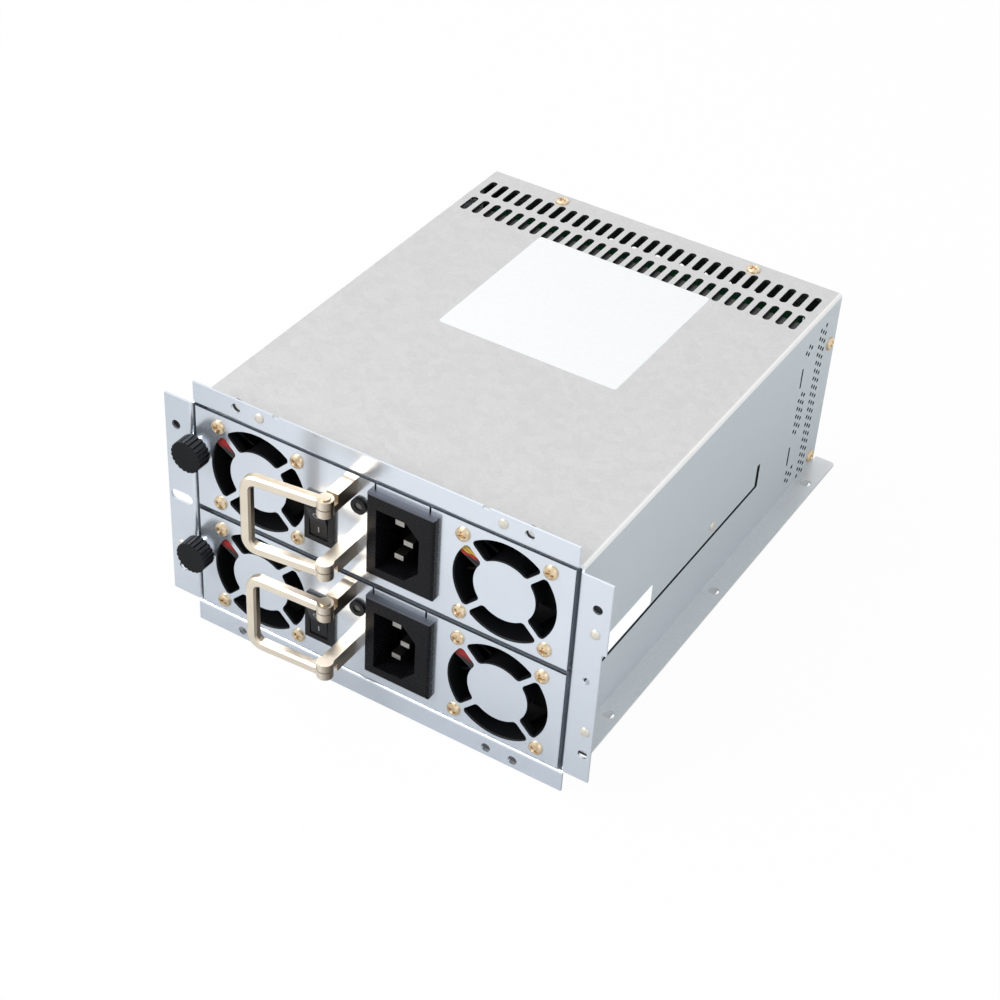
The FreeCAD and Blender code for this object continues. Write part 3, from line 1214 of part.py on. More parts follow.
def write_files():
    """Checks every object and writes one file for each sub-part."""
    doc.recompute()
    broken = [item.Name for item in doc.Objects if "Invalid" in item.State or "Error" in item.State]
    if broken:
        raise RuntimeError("objects that did not build: " + ", ".join(broken))
    bad = [item.Label for item in SHAPE_NODES if item.Shape.isNull() or not item.Shape.isValid()]
    if bad:
        raise RuntimeError("sub-parts with a faulty shape: " + ", ".join(bad))
    os.makedirs("parts", exist_ok=True)
    for item in SHAPE_NODES:
        item.Shape.exportStep("parts/%s.step" % item.Label)
    print("%d sub-parts written" % len(SHAPE_NODES))


make_all()
write_files()
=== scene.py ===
import json
import math

import bmesh
import bpy
from mathutils import Matrix, Vector
from mathutils.bvhtree import BVHTree


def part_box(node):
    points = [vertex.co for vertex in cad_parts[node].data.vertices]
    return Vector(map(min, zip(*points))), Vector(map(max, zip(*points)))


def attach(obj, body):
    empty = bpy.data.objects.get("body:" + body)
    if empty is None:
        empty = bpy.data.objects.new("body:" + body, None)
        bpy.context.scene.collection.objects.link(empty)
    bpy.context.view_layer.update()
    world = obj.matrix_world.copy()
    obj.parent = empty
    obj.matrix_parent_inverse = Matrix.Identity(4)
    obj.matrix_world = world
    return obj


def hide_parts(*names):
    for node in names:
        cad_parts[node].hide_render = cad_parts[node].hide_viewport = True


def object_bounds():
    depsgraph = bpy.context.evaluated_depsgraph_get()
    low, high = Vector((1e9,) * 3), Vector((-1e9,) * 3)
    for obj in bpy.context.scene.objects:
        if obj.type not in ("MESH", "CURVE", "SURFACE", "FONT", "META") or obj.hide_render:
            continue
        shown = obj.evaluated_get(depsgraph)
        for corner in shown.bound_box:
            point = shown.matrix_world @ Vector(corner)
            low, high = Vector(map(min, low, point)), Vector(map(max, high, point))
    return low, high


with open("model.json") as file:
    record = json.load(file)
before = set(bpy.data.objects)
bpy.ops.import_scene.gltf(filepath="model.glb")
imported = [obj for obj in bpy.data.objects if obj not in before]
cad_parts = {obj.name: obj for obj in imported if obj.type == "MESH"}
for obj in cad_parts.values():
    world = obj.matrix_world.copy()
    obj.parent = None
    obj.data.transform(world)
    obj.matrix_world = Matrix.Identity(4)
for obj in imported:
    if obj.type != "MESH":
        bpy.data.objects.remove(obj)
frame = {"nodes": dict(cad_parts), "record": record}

bl_info = {
    "name": "Hot Swap Power Supply Finish",
    "version": (1, 0, 0),
    "blender": (4, 5, 0),
    "location": "3D View > Sidebar > Power Supply",
    "description": "Finishes, labels, screws and studio for a two-module server power supply",
    "category": "Object",
}

NODES = frame["nodes"]
MODULES = ("upper", "lower")
FAN_SIDES = ("left", "right")
CAD_BOX = [list(corner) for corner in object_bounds()]

# Places on the part, in metres
SHEET = 0.0008
WALL_X = 0.075
ROOF_Z = 0.044
MODULE_Z = sum(corner.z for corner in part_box("upper_tray")) / 2
# Lids behind this depth carry painted shade, seen through the roof slots
LID_SHADE_Y = 0.152
EDGE_INSET = 0.0028
LEAD_TURN = math.radians(150)
LEAD_RADIUS = 0.00065
MM = 0.001

# Tones that several finishes share
WHITE = (1.0, 1.0, 1.0)
# Painted shade on the rear of the module lids
LID_SHADE = (0.012, 0.013, 0.014)
# Painted shade on the walls of holes and inside the housing
INNER_SHADE = (0.02, 0.021, 0.022)


# Sizes and colours that a user would change

def length(name, description, default):
    return bpy.props.FloatProperty(
        name=name, description=description, default=default, unit="LENGTH")


def edges(name, description, default):
    return bpy.props.FloatVectorProperty(
        name=name, description=description, default=default, size=4, unit="LENGTH")


def colour(name, description, default):
    return bpy.props.FloatVectorProperty(
        name=name, description=description, default=default, size=3, subtype="COLOR",
        min=0.0, max=1.0)


def angle(name, description, degrees):
    return bpy.props.FloatProperty(
        name=name, description=description, default=math.radians(degrees), subtype="ANGLE")


class StageSettings(bpy.types.PropertyGroup):
    """Camera, floor and lamps."""
    camera_place: bpy.props.FloatVectorProperty(
        name="Camera place", description="Where the camera stands",
        default=(0.2902, -0.4354, 0.4525), subtype="TRANSLATION")
    camera_azimuth: angle("Azimuth", "Turn of the camera to the right of the front", 29.413)
    camera_elevation: angle("Elevation", "Height of the camera above the horizon", 38.345)
    camera_roll: angle("Roll", "Turn of the picture", 3.819)
    lens: bpy.props.FloatProperty(
        name="Lens", description="Focal length in millimetres", default=75.434, unit="CAMERA")
    floor_colour: colour("Floor", "Colour of the floor", (0.86, 0.865, 0.87))
    floor_shade: colour("Floor shade", "Floor that polished sheet mirrors close by",
                        (0.2, 0.21, 0.23))
    floor_side: length("Floor side", "Side of the floor", 3.0)
    lamp_power: bpy.props.FloatProperty(
        name="Lamp power", description="Power of the main lamp", default=9.5, subtype="POWER")
    sky_level: bpy.props.FloatProperty(
        name="Sky level", description="Strength of the even light from all sides", default=0.42,
        subtype="FACTOR")
    sky_colour: colour("Sky", "Tint of the even light", (0.93, 0.97, 1.0))


class SheetSettings(bpy.types.PropertyGroup):
    """Finishes of the folded sheet, and the labels on it."""
    front_colour: colour("Front", "Bright plated front sheet", (0.74, 0.79, 0.86))
    body_colour: colour("Body", "Galvanised housing sheet", (0.63, 0.622, 0.618))
    # The side walls' cool tint is painted sky light
    wall_sky_tint: colour("Walls", "Cool side walls", (0.64, 0.69, 0.72))
    # Painted highlight along the folds of the housing
    fold_highlight_colour: colour("Folds", "Burnished folds", (1.0, 0.99, 0.97))
    rail_colour: colour("Rails", "Bright rails", (0.76, 0.775, 0.785))
    # The shelf is painted dark as painted shade in the gap between the modules
    shelf_shade_colour: colour("Shelf", "Dark shelf between the modules", (0.12, 0.125, 0.13))
    spangle_size: length("Spangle", "Width of one spangle", 0.0035)
    label_lift: length("Label lift", "Thickness of a label", 0.00015)
    roof_label: edges("Roof label", "Left, front, right and rear edge of the roof label",
                      (-0.0345, 0.088, 0.037, 0.158))
    side_label: edges("Side label", "Front, lower, rear and upper edge of the side label",
                      (0.023, -0.0075, 0.053, 0.001))


class HardwareSettings(bpy.types.PropertyGroup):
    """Screws, knobs, handles and small parts."""
    gold: colour("Gold", "Chromated screws", (0.72, 0.58, 0.40))
    handle_colour: colour("Handle", "Warm nickel of the handles", (0.90, 0.81, 0.68))
    black: colour("Black", "Moulded black plastic", (0.012, 0.012, 0.014))
    ink: colour("Ink", "Marks on the rockers", (0.42, 0.42, 0.42))
    screw_radius: length("Screw head", "Radius of a screw head", 0.0026)
    screw_dome: length("Screw dome", "Height of a screw head", 0.0013)
    recess_half: length("Recess reach", "Half length of the cross recess", 0.0016)
    recess_width: length("Recess width", "Width of the cross recess", 0.0009)
    rivet_radius: length("Rivet head", "Radius of a rivet head", 0.0018)
    rivet_colour: colour("Rivets", "Pale plated rivets", (0.72, 0.68, 0.60))
    nut_wall: length("Nut wall", "Wall of a press nut around its hole", 0.0010)
    nut_height: length("Nut height", "Height of a press nut behind an ear", 0.0036)
    low_nut_height: length("Low nut height", "Height of a press nut behind the roof flange",
                           0.0009)


# Shader maths

def scaled(tone, *factors):
    """The tone times one factor, or times one for each channel, and no lighter than white."""
    if len(factors) == 1:
        factors = factors * len(tone)
    return tuple(min(1.0, c * factor) for c, factor in zip(tone, factors))


class Link:
    """An output socket that takes part in expressions. Each operator adds one Math node."""

    def __init__(self, graph, socket):
        self.graph = graph
        self.socket = socket

    def maths(self, operation, *values):
        return self.graph.node(
            "ShaderNodeMath", {"operation": operation}, dict(enumerate(values)))

    def __add__(self, other):
        return self.maths("ADD", self, other)

    def __sub__(self, other):
        return self.maths("SUBTRACT", self, other)

    def __rsub__(self, other):
        return self.maths("SUBTRACT", other, self)

    def __mul__(self, other):
        return self.maths("MULTIPLY", self, other)

    def __gt__(self, other):
        return self.maths("GREATER_THAN", self, other)

    def __lt__(self, other):
        return self.maths("LESS_THAN", self, other)

    __radd__ = __add__
    __rmul__ = __mul__

    def larger(self, other):
        return self.maths("MAXIMUM", self, other)

    def size(self):
        return self.maths("ABSOLUTE", self)

    def root(self):
        return self.maths("POWER", self, 0.5)

    def clamp(self):
        return self.graph.node("ShaderNodeClamp", {}, {"Value": self})


class Graph:
    """A tree of shader nodes."""

    def __init__(self, tree):
        self.tree = tree

    def node(self, kind, settings, sockets, output=0):
        """Adds one node of any type: its settings first, then its sockets' values or links."""
        made = self.tree.nodes.new(kind)
        for name, value in settings.items():
            if name == "stops":
                for stop, (position, shade) in zip(made.color_ramp.elements, value):
                    stop.position = position
                    stop.color = (*shade, 1.0)
            else:
                setattr(made, name, value)
        for name, value in sockets.items():
            socket = made.inputs[name]
            if isinstance(value, Link):
                self.tree.links.new(value.socket, socket)
            elif socket.type == "RGBA":
                socket.default_value = (*value, 1.0)
            else:
                socket.default_value = value
        return Link(self, made.outputs[output])

    def standing(self, kind):
        """The one node of this type that a new tree comes with."""
        return next(n for n in self.tree.nodes if n.type == kind)

    def connect(self, value, socket):
        self.tree.links.new(value.socket, socket)

    def split(self, vector):
        """The three numbers of a vector."""
        first = self.node("ShaderNodeSeparateXYZ", {}, {0: vector})
        return [Link(self, socket) for socket in first.socket.node.outputs]

    def mix(self, factor, first, second):
        return self.node(
            "ShaderNodeMix", {"data_type": "RGBA"}, {0: factor, 6: first, 7: second}, output=2)

    def ray(self, kind):
        return self.node("ShaderNodeLightPath", {}, {}, output="Is %s Ray" % kind)


class Finish(Graph):
    """A procedural material around one Principled shader."""

    def __init__(self, name, metallic=0.0, roughness=0.5, **fixed):
        self.material = bpy.data.materials.new(name)
        self.material.use_nodes = True
        super().__init__(self.material.node_tree)
        self.shader = self.standing("BSDF_PRINCIPLED")
        for socket, value in dict(fixed, Metallic=metallic, Roughness=roughness).items():
            self.shader.inputs[socket.replace("_", " ")].default_value = value
        self.place = self.node("ShaderNodeTexCoord", {}, {}, output="Object")

    def noise(self, scale, detail=2.0, roughness=0.5, stretch=None):
        place = self.place
        if stretch:
            place = self.node("ShaderNodeMapping", {}, {"Vector": place, "Scale": stretch})
        return self.node("ShaderNodeTexNoise", {}, {
            "Vector": place, "Scale": scale, "Detail": detail, "Roughness": roughness})

    def ramp(self, pattern, low, high, reach=0.18):
        """From the low to the high colour, over a reach on each side of the pattern's middle."""
        stops = ((0.5 - reach, low), (0.5 + reach, high))
        return self.node("ShaderNodeValToRGB", {"stops": stops}, {"Fac": pattern})

    def drift(self, pattern, tone, spread):
        """The tone, lighter and darker by the spread."""
        return self.ramp(pattern, tuple(max(0.0, c - spread) for c in tone),
                         tuple(min(1.0, c + spread) for c in tone))

    def axes(self):
        return self.split(self.place)

    def facing(self):
        """Outward direction of the surface on its own piece, as three numbers."""
        return self.split(self.node("ShaderNodeTexCoord", {}, {}, output="Normal"))

    def feed(self, socket, value):
        self.connect(value, self.shader.inputs[socket])

    def bump(self, height, distance):
        self.feed("Normal", self.node("ShaderNodeBump", {}, {
            "Height": height, "Distance": distance, "Strength": 1.0}))


def height_in_module(z):
    """Height above the middle of the module that a point belongs to."""
    return z - ((z > 0.0) * (2 * MODULE_Z) - MODULE_Z)


# Finishes

def plated_sheet(sheet):
    """Bright plated steel of the modules, with painted shade on the walls of its openings and on
    the rear of the lids, seen through the roof slots.
    """
    opening_shade_tone, edge_depth, edge_share = (0.02, 0.022, 0.026), SHEET, 0.75
    finish = Finish("plated_sheet", metallic=0.78, roughness=0.2)
    _, y, _ = finish.axes()
    _, ahead, _ = finish.facing()
    clouds = finish.noise(22.0, 3.0)
    lines = finish.noise(900.0, 2.0, stretch=(1.0, 1.0, 0.02))
    plate = finish.ramp(clouds, scaled(sheet.front_colour, 0.95), scaled(sheet.front_colour, 1.05))
    # Painted shade on the walls of the face's openings and edges
    edge = (ahead.size() < 0.5) * (y > 0.0) * (y < edge_depth)
    plate = finish.mix(edge * edge_share, plate, opening_shade_tone)
    # Painted shade on the rear of the lid, under the roof slots
    inner_shade = y > LID_SHADE_Y
    finish.feed("Base Color", finish.mix(inner_shade, plate, LID_SHADE))
    finish.feed("Metallic", 0.78 - inner_shade * 0.78)
    finish.feed("Roughness", 0.15 + clouds * 0.07 + lines * 0.05 + inner_shade * 0.25)
    finish.bump(lines, 0.00001)
    return finish.material


def rail_sheet(name, tone, metallic=0.3, roughness=0.42):
    """Plain zinc-plated steel with a fine even grain and dark front ends."""
    end_tone, end_y = (0.05, 0.05, 0.055), 0.0018
    finish = Finish(name, metallic=metallic, roughness=roughness)
    _, y, _ = finish.axes()
    grain = finish.noise(1100.0, 4.0)
    sheet = finish.ramp(grain, scaled(tone, 0.95), scaled(tone, 1.05), 0.25)
    finish.feed("Base Color", finish.mix(y < end_y, sheet, end_tone))
    finish.feed("Roughness", roughness - 0.05 + grain * 0.1)
    finish.bump(grain, 0.00002)
    return finish.material


def galvanised_sheet(sheet):
    """Galvanised steel: fine grain and faint spangle, with a painted cool tint of sky light on the
    walls, a painted highlight on the folds and painted shade on the walls of its holes.
    """
    front_y = 2 * SHEET
    finish = Finish("galvanised_sheet", metallic=0.35, roughness=0.5)
    x, y, z = finish.axes()
    across, _, up = finish.facing()
    grain = finish.noise(1100.0, 4.0, 0.7)
    tone, _, _ = finish.split(finish.node(
        "ShaderNodeTexVoronoi", {}, {"Vector": finish.place, "Scale": 1.0 / sheet.spangle_size},
        output="Color"))
    body, sky_tinted = sheet.body_colour, sheet.wall_sky_tint
    roof = finish.ramp(tone * 0.2 + grain * 0.8, scaled(body, 0.92), scaled(body, 1.07), 0.25)
    # Walls facing sideways get a painted cool tint of the sky light
    side = finish.ramp(grain, scaled(sky_tinted, 0.97), scaled(sky_tinted, 1.03), 0.3)
    wall = across.size() > 0.7
    # Painted highlight along the folds
    fold_highlight = (across.size() * up * 3.2).clamp()
    front = y < front_y
    patch = finish.mix(fold_highlight, finish.mix(wall, roof, side), sheet.fold_highlight_colour)
    patch = finish.mix(front, patch, sheet.front_colour)
    # Painted shade on the walls of the slots and perforations in the sides and roof
    inside = (y > EDGE_INSET) * (y < CAD_BOX[1][1] - 2 * EDGE_INSET)
    in_wall = ((x.size() > WALL_X - 1.5 * SHEET) * (z.size() < ROOF_Z - EDGE_INSET)
               * (across.size() < 0.5))
    in_roof = (z > ROOF_Z - 1.5 * SHEET) * (x.size() < WALL_X - EDGE_INSET) * (up.size() < 0.5)
    hole_shade = inside * (in_wall + in_roof).clamp()
    finish.feed("Base Color", finish.mix(hole_shade, patch, INNER_SHADE))
    finish.feed("Metallic", 0.35 + front * 0.4 - hole_shade * 0.35)
    finish.feed("Roughness", 0.5 + tone * 0.05 - front * 0.28 - fold_highlight * 0.1)
    finish.bump(grain * (1.0 - wall), 0.00004)
    return finish.material


def rear_sheet(sheet):
    """Galvanised rear panel whose inner face carries painted shade, seen through the roof's holes.
    """
    finish = Finish("rear_sheet", metallic=0.35, roughness=0.5)
    _, y, _ = finish.axes()
    grain = finish.noise(1100.0, 4.0, 0.7)
    body = sheet.body_colour
    patch = finish.ramp(grain, scaled(body, 0.92), scaled(body, 1.07), 0.25)
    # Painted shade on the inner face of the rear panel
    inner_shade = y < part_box("rear_panel")[1].y - SHEET / 2
    finish.feed("Base Color", finish.mix(inner_shade, patch, INNER_SHADE))
    finish.feed("Metallic", 0.35 - inner_shade * 0.35)
    finish.bump(grain, 0.00003)
    return finish.material


def moulded_plastic(name, tone, grain=1800.0, roughness=0.46, depth=0.00003, gloss=0.22,
                    highlight_tone=None, highlight_level=-1.0):
    """Plastic with a fine spark-eroded grain. Upward faces above the highlight level get a painted
    highlight.
    """
    finish = Finish(name, roughness=roughness, Specular_IOR_Level=gloss)
    clouds = finish.noise(60.0, 3.0)
    shade = finish.ramp(clouds, scaled(tone, 0.8), scaled(tone, 1.2))
    if highlight_tone:
        _, _, up = finish.facing()
        _, _, z = finish.axes()
        # Painted highlight on upward faces
        top_highlight = (height_in_module(z) > highlight_level) * ((up - 0.3) * 2).clamp()
        shade = finish.mix(top_highlight * (0.6 + clouds * 0.4), shade, highlight_tone)
    finish.feed("Base Color", shade)
    texture = finish.noise(grain, 3.0)
    finish.feed("Roughness", roughness - 0.08 + texture * 0.16)
    finish.bump(texture, depth)
    return finish.material


def plated_metal(name, tone, roughness, spread=0.05, scale=160.0, metallic=1.0, facing_shade=0.0):
    """Plated or turned metal. With facing shade, upper faces get a painted tan shade and those
    facing right or down get painted shade.
    """
    finish = Finish(name, metallic=metallic)
    clouds = finish.noise(scale, 3.0)
    shade = finish.drift(clouds, tone, spread)
    if facing_shade:
        # Painted shade by facing: upper faces tan, faces to the right or down dark
        x, _, z = finish.facing()
        shade = finish.mix((z * 0.5).clamp(), shade, scaled(tone, 0.62, 0.52, 0.42))
        flank_shade = ((x - z * 0.6) * facing_shade).clamp()
        shade = finish.mix(flank_shade, shade, scaled(tone, 0.13, 0.10, 0.07))
    finish.feed("Base Color", shade)
    grain = finish.noise(2400.0, 2.0)
    finish.feed("Roughness", roughness - 0.05 + clouds * 0.08 + grain * 0.05)
    return finish.material


def lead_insulation(black):
    """Red and dark fan leads, with a yellow one in front at the upper right fan."""
    yellow, red = (0.62, 0.40, 0.06), (0.40, 0.012, 0.014)
    second_red, shaded_red = (0.42, 0.013, 0.014), (0.16, 0.008, 0.01)
    seen_at, slant = 0.0155, 0.45
    cos, sin = math.cos(LEAD_TURN), math.sin(LEAD_TURN)
    left_fan, right_fan = (sum(corner.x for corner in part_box("upper_%s_fan_frame" % side)) / 2
                           for side in FAN_SIDES)
    finish = Finish("lead_insulation", roughness=0.4)
    x, _, z = finish.axes()
    right = x > 0.0
    both = right * (z > 0.0)
    beside = x - (right * (right_fan - left_fan) + left_fan)
    above = height_in_module(z)
    out = beside * cos + above * sin
    lane = above * cos - beside * sin - (out - seen_at) * slant
    first = finish.mix(both * (lane < -LEAD_RADIUS), red, yellow)
    second = finish.mix(both, shaded_red, second_red)
    shade = finish.mix(lane > -LEAD_RADIUS, first, second)
    finish.feed("Base Color", finish.mix(lane > LEAD_RADIUS, shade, black))
    finish.bump(finish.noise(1500.0), 0.00002)
    return finish.material


def circuit_board():
    """Green solder mask over faint copper tracks."""
    finish = Finish("solder_mask", roughness=0.35, Coat_Weight=0.3)
    tracks = finish.node("ShaderNodeTexBrick", {}, {
        "Vector": finish.place, "Scale": 120.0, "Mortar Size": 0.03, "Color1": (0.016, 0.10, 0.045),
        "Color2": (0.020, 0.125, 0.055), "Mortar": (0.03, 0.17, 0.08)})
    finish.feed("Base Color", tracks)
    finish.bump(finish.noise(700.0), 0.00003)
    return finish.material


def paper_label():
    """White coated paper. On the shaded right wall it glows with painted light."""
    finish = Finish("paper_label", roughness=0.55, Emission_Strength=0.42)
    across, _, _ = finish.facing()
    # Painted light: the label on the right wall glows
    finish.feed("Emission Color", finish.mix(across > 0.5, (0.0, 0.0, 0.0), (0.95, 0.97, 1.0)))
    fibre = finish.noise(500.0, 3.0)
    finish.feed("Base Color", finish.drift(fibre, (0.955, 0.955, 0.955), 0.012))
    finish.bump(fibre, 0.00001)
    return finish.material


def speckled(name, tone, spread, **fixed):
    """Plain paint or lens with the faintest speckle."""
    finish = Finish(name, **fixed)
    finish.feed("Base Color", finish.drift(finish.noise(900.0, 3.0), tone, spread))
    return finish.material


# Making meshes

def keep(name, mesh, material, body, *replaced, slot=None, smooth=True):
    """Puts a finished mesh in the scene, on its body, with its material."""
    sharp = math.radians(32)
    piece = bpy.data.objects.new(name, mesh)
    bpy.context.scene.collection.objects.link(piece)
    mesh.materials.clear()
    mesh.materials.append(material)
    mesh.polygons.foreach_set("use_smooth", [smooth] * len(mesh.polygons))
    if smooth:
        mesh.set_sharp_from_angle(angle=sharp)
    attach(piece, body)
    if replaced:
        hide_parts(*replaced)
    return piece


def paint(material, *nodes):
    """Gives the CAD nodes one material."""
    for name in nodes:
        mesh = NODES[name].data
        mesh.materials.clear()
        mesh.materials.append(material)
        mesh.polygons.foreach_set("material_index", [0] * len(mesh.polygons))


def in_modules(*parts):
    """Names of these parts in the upper and then in the lower module."""
    return ["%s_%s" % (module, part) for module in MODULES for part in parts]


def mesh_from(maker, name):
    """Runs a bmesh maker and returns its mesh."""
    form = bmesh.new()
    maker(form)
    bmesh.ops.remove_doubles(form, verts=form.verts, dist=1e-6)
    bmesh.ops.recalc_face_normals(form, faces=form.faces)
    mesh = bpy.data.meshes.new(name)
    form.to_mesh(mesh)
    form.free()
    return mesh


def ring(form, radius, height, steps, shift=0.0):
    """One circle of vertices around Z; the shift is a share of a step."""
    turns = [math.tau * (i + shift) / steps for i in range(steps)]
    return [form.verts.new((radius * math.cos(a), radius * math.sin(a), height)) for a in turns]


def band(form, lower, upper):
    """Faces between two closed rows of vertices."""
    for i in range(len(lower)):
        j = (i + 1) % len(lower)
        form.faces.new((lower[i], lower[j], upper[j], upper[i]))


def lathe(form, profile, steps):
    """Turns a profile of (radius, height) points about Z; ends on the axis are closed."""
    rows = [ring(form, radius, height, steps) if radius else [form.verts.new((0.0, 0.0, height))]
            for radius, height in profile]
    for below, above in zip(rows, rows[1:]):
        for i in range(steps):
            j = (i + 1) % steps
            corners = [below[i % len(below)], below[j % len(below)],
                       above[j % len(above)], above[i % len(above)]]
            corners = list(dict.fromkeys(corners))
            if len(corners) > 2:
                form.faces.new(corners)


def slab(form, outline, lift):
    """A closed plate from its lower outline and the way to its upper one."""
    foot = [form.verts.new(p) for p in outline]
    face = [form.verts.new(Vector(p) + lift) for p in outline]
    form.faces.new(face)
    form.faces.new(list(reversed(foot)))
    band(form, foot, face)


def rounded(x0, y0, x1, y1, radius, steps=5):
    """Outline of a rectangle with rounded corners."""
    points = []
    for cx, cy, start in ((x1 - radius, y1 - radius, 0), (x0 + radius, y1 - radius, 90),
                          (x0 + radius, y0 + radius, 180), (x1 - radius, y0 + radius, 270)):
        for i in range(steps + 1):
            a = math.radians(start + 90 * i / steps)
            points.append((cx + radius * math.cos(a), cy + radius * math.sin(a)))
    return points


# Screws, rivets and nuts, placed by one tree of geometry nodes

def cross_head(hardware):
    """One pan head with a cross recess, standing on the XY plane."""
    radius, dome = hardware.screw_radius, hardware.screw_dome
    reach, half = hardware.recess_half, hardware.recess_width / 2
    steps, shift = 32, 0.5
    sink, taper, fall = dome * 0.7, 0.7, 0.35
    profile = ((0.75, 0.80), (0.93, 0.60), (1.0, 0.28), (1.0, 0.0))

    def rim(a):
        """Distance from the axis to the rim of the cross in one direction."""
        c, s = max(abs(math.cos(a)), 1e-6), max(abs(math.sin(a)), 1e-6)
        return max(min(reach / c, half / s), min(reach / s, half / c))

    def make(form):
        inner, floor = [], []
        for i in range(steps):
            a = math.tau * (i + shift) / steps
            d = rim(a)
            height = dome * (1 - fall * (d / radius) ** 2)
            x, y = d * math.cos(a), d * math.sin(a)
            inner.append(form.verts.new((x, y, height)))
            floor.append(form.verts.new((x * taper, y * taper, height - sink)))
        rows = [floor, inner] + [ring(form, radius * share, dome * height, steps, shift)
                                 for share, height in profile]
        form.faces.new(list(reversed(floor)))
        form.faces.new(rows[-1])
        for low, high in zip(rows, rows[1:]):
            band(form, low, high)

    return mesh_from(make, "cross_head")


def rivet_head(hardware):
    """One low domed head, standing on the XY plane."""
    radius = hardware.rivet_radius
    profile = ((0, 0), (radius, 0), (radius, 0.0002), (radius * 0.86, 0.00055),
               (radius * 0.5, 0.0008), (0, 0.0009))
    return mesh_from(lambda form: lathe(form, profile, 20), "rivet_head")


def press_nut(hole, outer, height):
    """Threaded bush standing behind a bolt hole, open right through."""
    outer_chamfer, inner_chamfer = 0.0003, 0.0002
    profile = ((hole, 0), (outer, 0), (outer, height - outer_chamfer),
               (outer - outer_chamfer, height), (hole + inner_chamfer, height),
               (hole, height - inner_chamfer), (hole, 0))
    return mesh_from(lambda form: lathe(form, profile, 24), "press_nut")


def fastener_tree():
    """Geometry nodes that stand one head on every point, along the point's own direction."""
    tree = bpy.data.node_groups.new("Fasteners", "GeometryNodeTree")
    sides = tree.interface
    for name, kind in (("Geometry", "Geometry"), ("Head", "Object"), ("Scale", "Float"),
                       ("Seed", "Int"), ("Finish", "Material")):
        sides.new_socket(name, in_out="INPUT", socket_type="NodeSocket" + kind)
    sides.new_socket("Geometry", in_out="OUTPUT", socket_type="NodeSocketGeometry")

    def add(kind, **links):
        made = tree.nodes.new(kind)
        for socket, source in links.items():
            tree.links.new(source, made.inputs[socket.replace("_", " ")])
        return made

    given = add("NodeGroupInput").outputs
    head = add("GeometryNodeObjectInfo", Object=given["Head"])
    direction = add("GeometryNodeInputNamedAttribute")
    direction.data_type = "FLOAT_VECTOR"
    direction.inputs["Name"].default_value = "direction"
    aim = add("FunctionNodeAlignRotationToVector",
              Vector=next(o for o in direction.outputs if o.enabled and o.name == "Attribute"))
    aim.axis = "Z"
    turn = add("FunctionNodeRandomValue", Seed=given["Seed"])
    turn.data_type = "FLOAT"
    turn.inputs[2].default_value = 0.0
    turn.inputs[3].default_value = math.tau
    spin = add("FunctionNodeAxisAngleToRotation", Angle=turn.outputs[1])
    spin.inputs["Axis"].default_value = (0, 0, 1)
    both = add("FunctionNodeRotateRotation", Rotation=aim.outputs[0], Rotate_By=spin.outputs[0])
    both.rotation_space = "LOCAL"
    stand = add("GeometryNodeInstanceOnPoints", Points=given["Geometry"],
                Instance=head.outputs["Geometry"], Rotation=both.outputs[0], Scale=given["Scale"])
    real = add("GeometryNodeRealizeInstances", Geometry=stand.outputs[0])
    finish = add("GeometryNodeSetMaterial", Geometry=real.outputs[0], Material=given["Finish"])
    add("NodeGroupOutput", Geometry=finish.outputs[0])
    return tree


def stand_fasteners(name, tree, head_mesh, spots, material, body, *replaced, slot="gold_steel",
                    seed=1):
    """Runs the tree on (place, direction) spots and keeps the result as one plain mesh."""
    points = bpy.data.meshes.new(name + "_points")
    points.from_pydata([place for place, _ in spots], [], [])
    attribute = points.attributes.new("direction", "FLOAT_VECTOR", "POINT")
    attribute.data.foreach_set("vector", [c for _, direction in spots for c in direction])
    carrier = bpy.data.objects.new(name + "_points", points)
    head = bpy.data.objects.new(name + "_head", head_mesh)
    for item in (carrier, head):
        bpy.context.scene.collection.objects.link(item)
    modifier = carrier.modifiers.new("Fasteners", "NODES")
    modifier.node_group = tree
    values = {"Head": head, "Scale": 1.0, "Seed": seed, "Finish": material}
    for item in tree.interface.items_tree:
        if item.in_out == "INPUT" and item.name in values:
            modifier[item.identifier] = values[item.name]
    bpy.context.view_layer.update()
    depsgraph = bpy.context.evaluated_depsgraph_get()
    mesh = bpy.data.meshes.new_from_object(carrier.evaluated_get(depsgraph))
    mesh.name = name
    for item in (carrier, head):
        bpy.data.objects.remove(item)
    return keep(name, mesh, material, body, *replaced, slot=slot)


def solid_boxes(node):
    """Lowest and highest corner of each separate solid of a CAD node, in the mesh's own order."""
    form = bmesh.new()
    form.from_mesh(NODES[node].data)
    bmesh.ops.remove_doubles(form, verts=form.verts, dist=1e-7)
    left, found = set(form.verts), []
    for first in form.verts:
        if first not in left:
            continue
        left.discard(first)
        stack, island = [first], []
        while stack:
            vert = stack.pop()
            island.append(vert.co.copy())
            for edge in vert.link_edges:
                other = edge.other_vert(vert)
                if other in left:
                    left.discard(other)
                    stack.append(other)
        found.append((Vector(map(min, *island)), Vector(map(max, *island))))
    form.free()
    return found


def on_front(node):
    """Spots on the front plane, one at each solid of a CAD node, facing forwards."""
    return [(((low.x + high.x) / 2, 0.0, (low.z + high.z) / 2), (0, -1, 0))
            for low, high in solid_boxes(node)]


# Operators

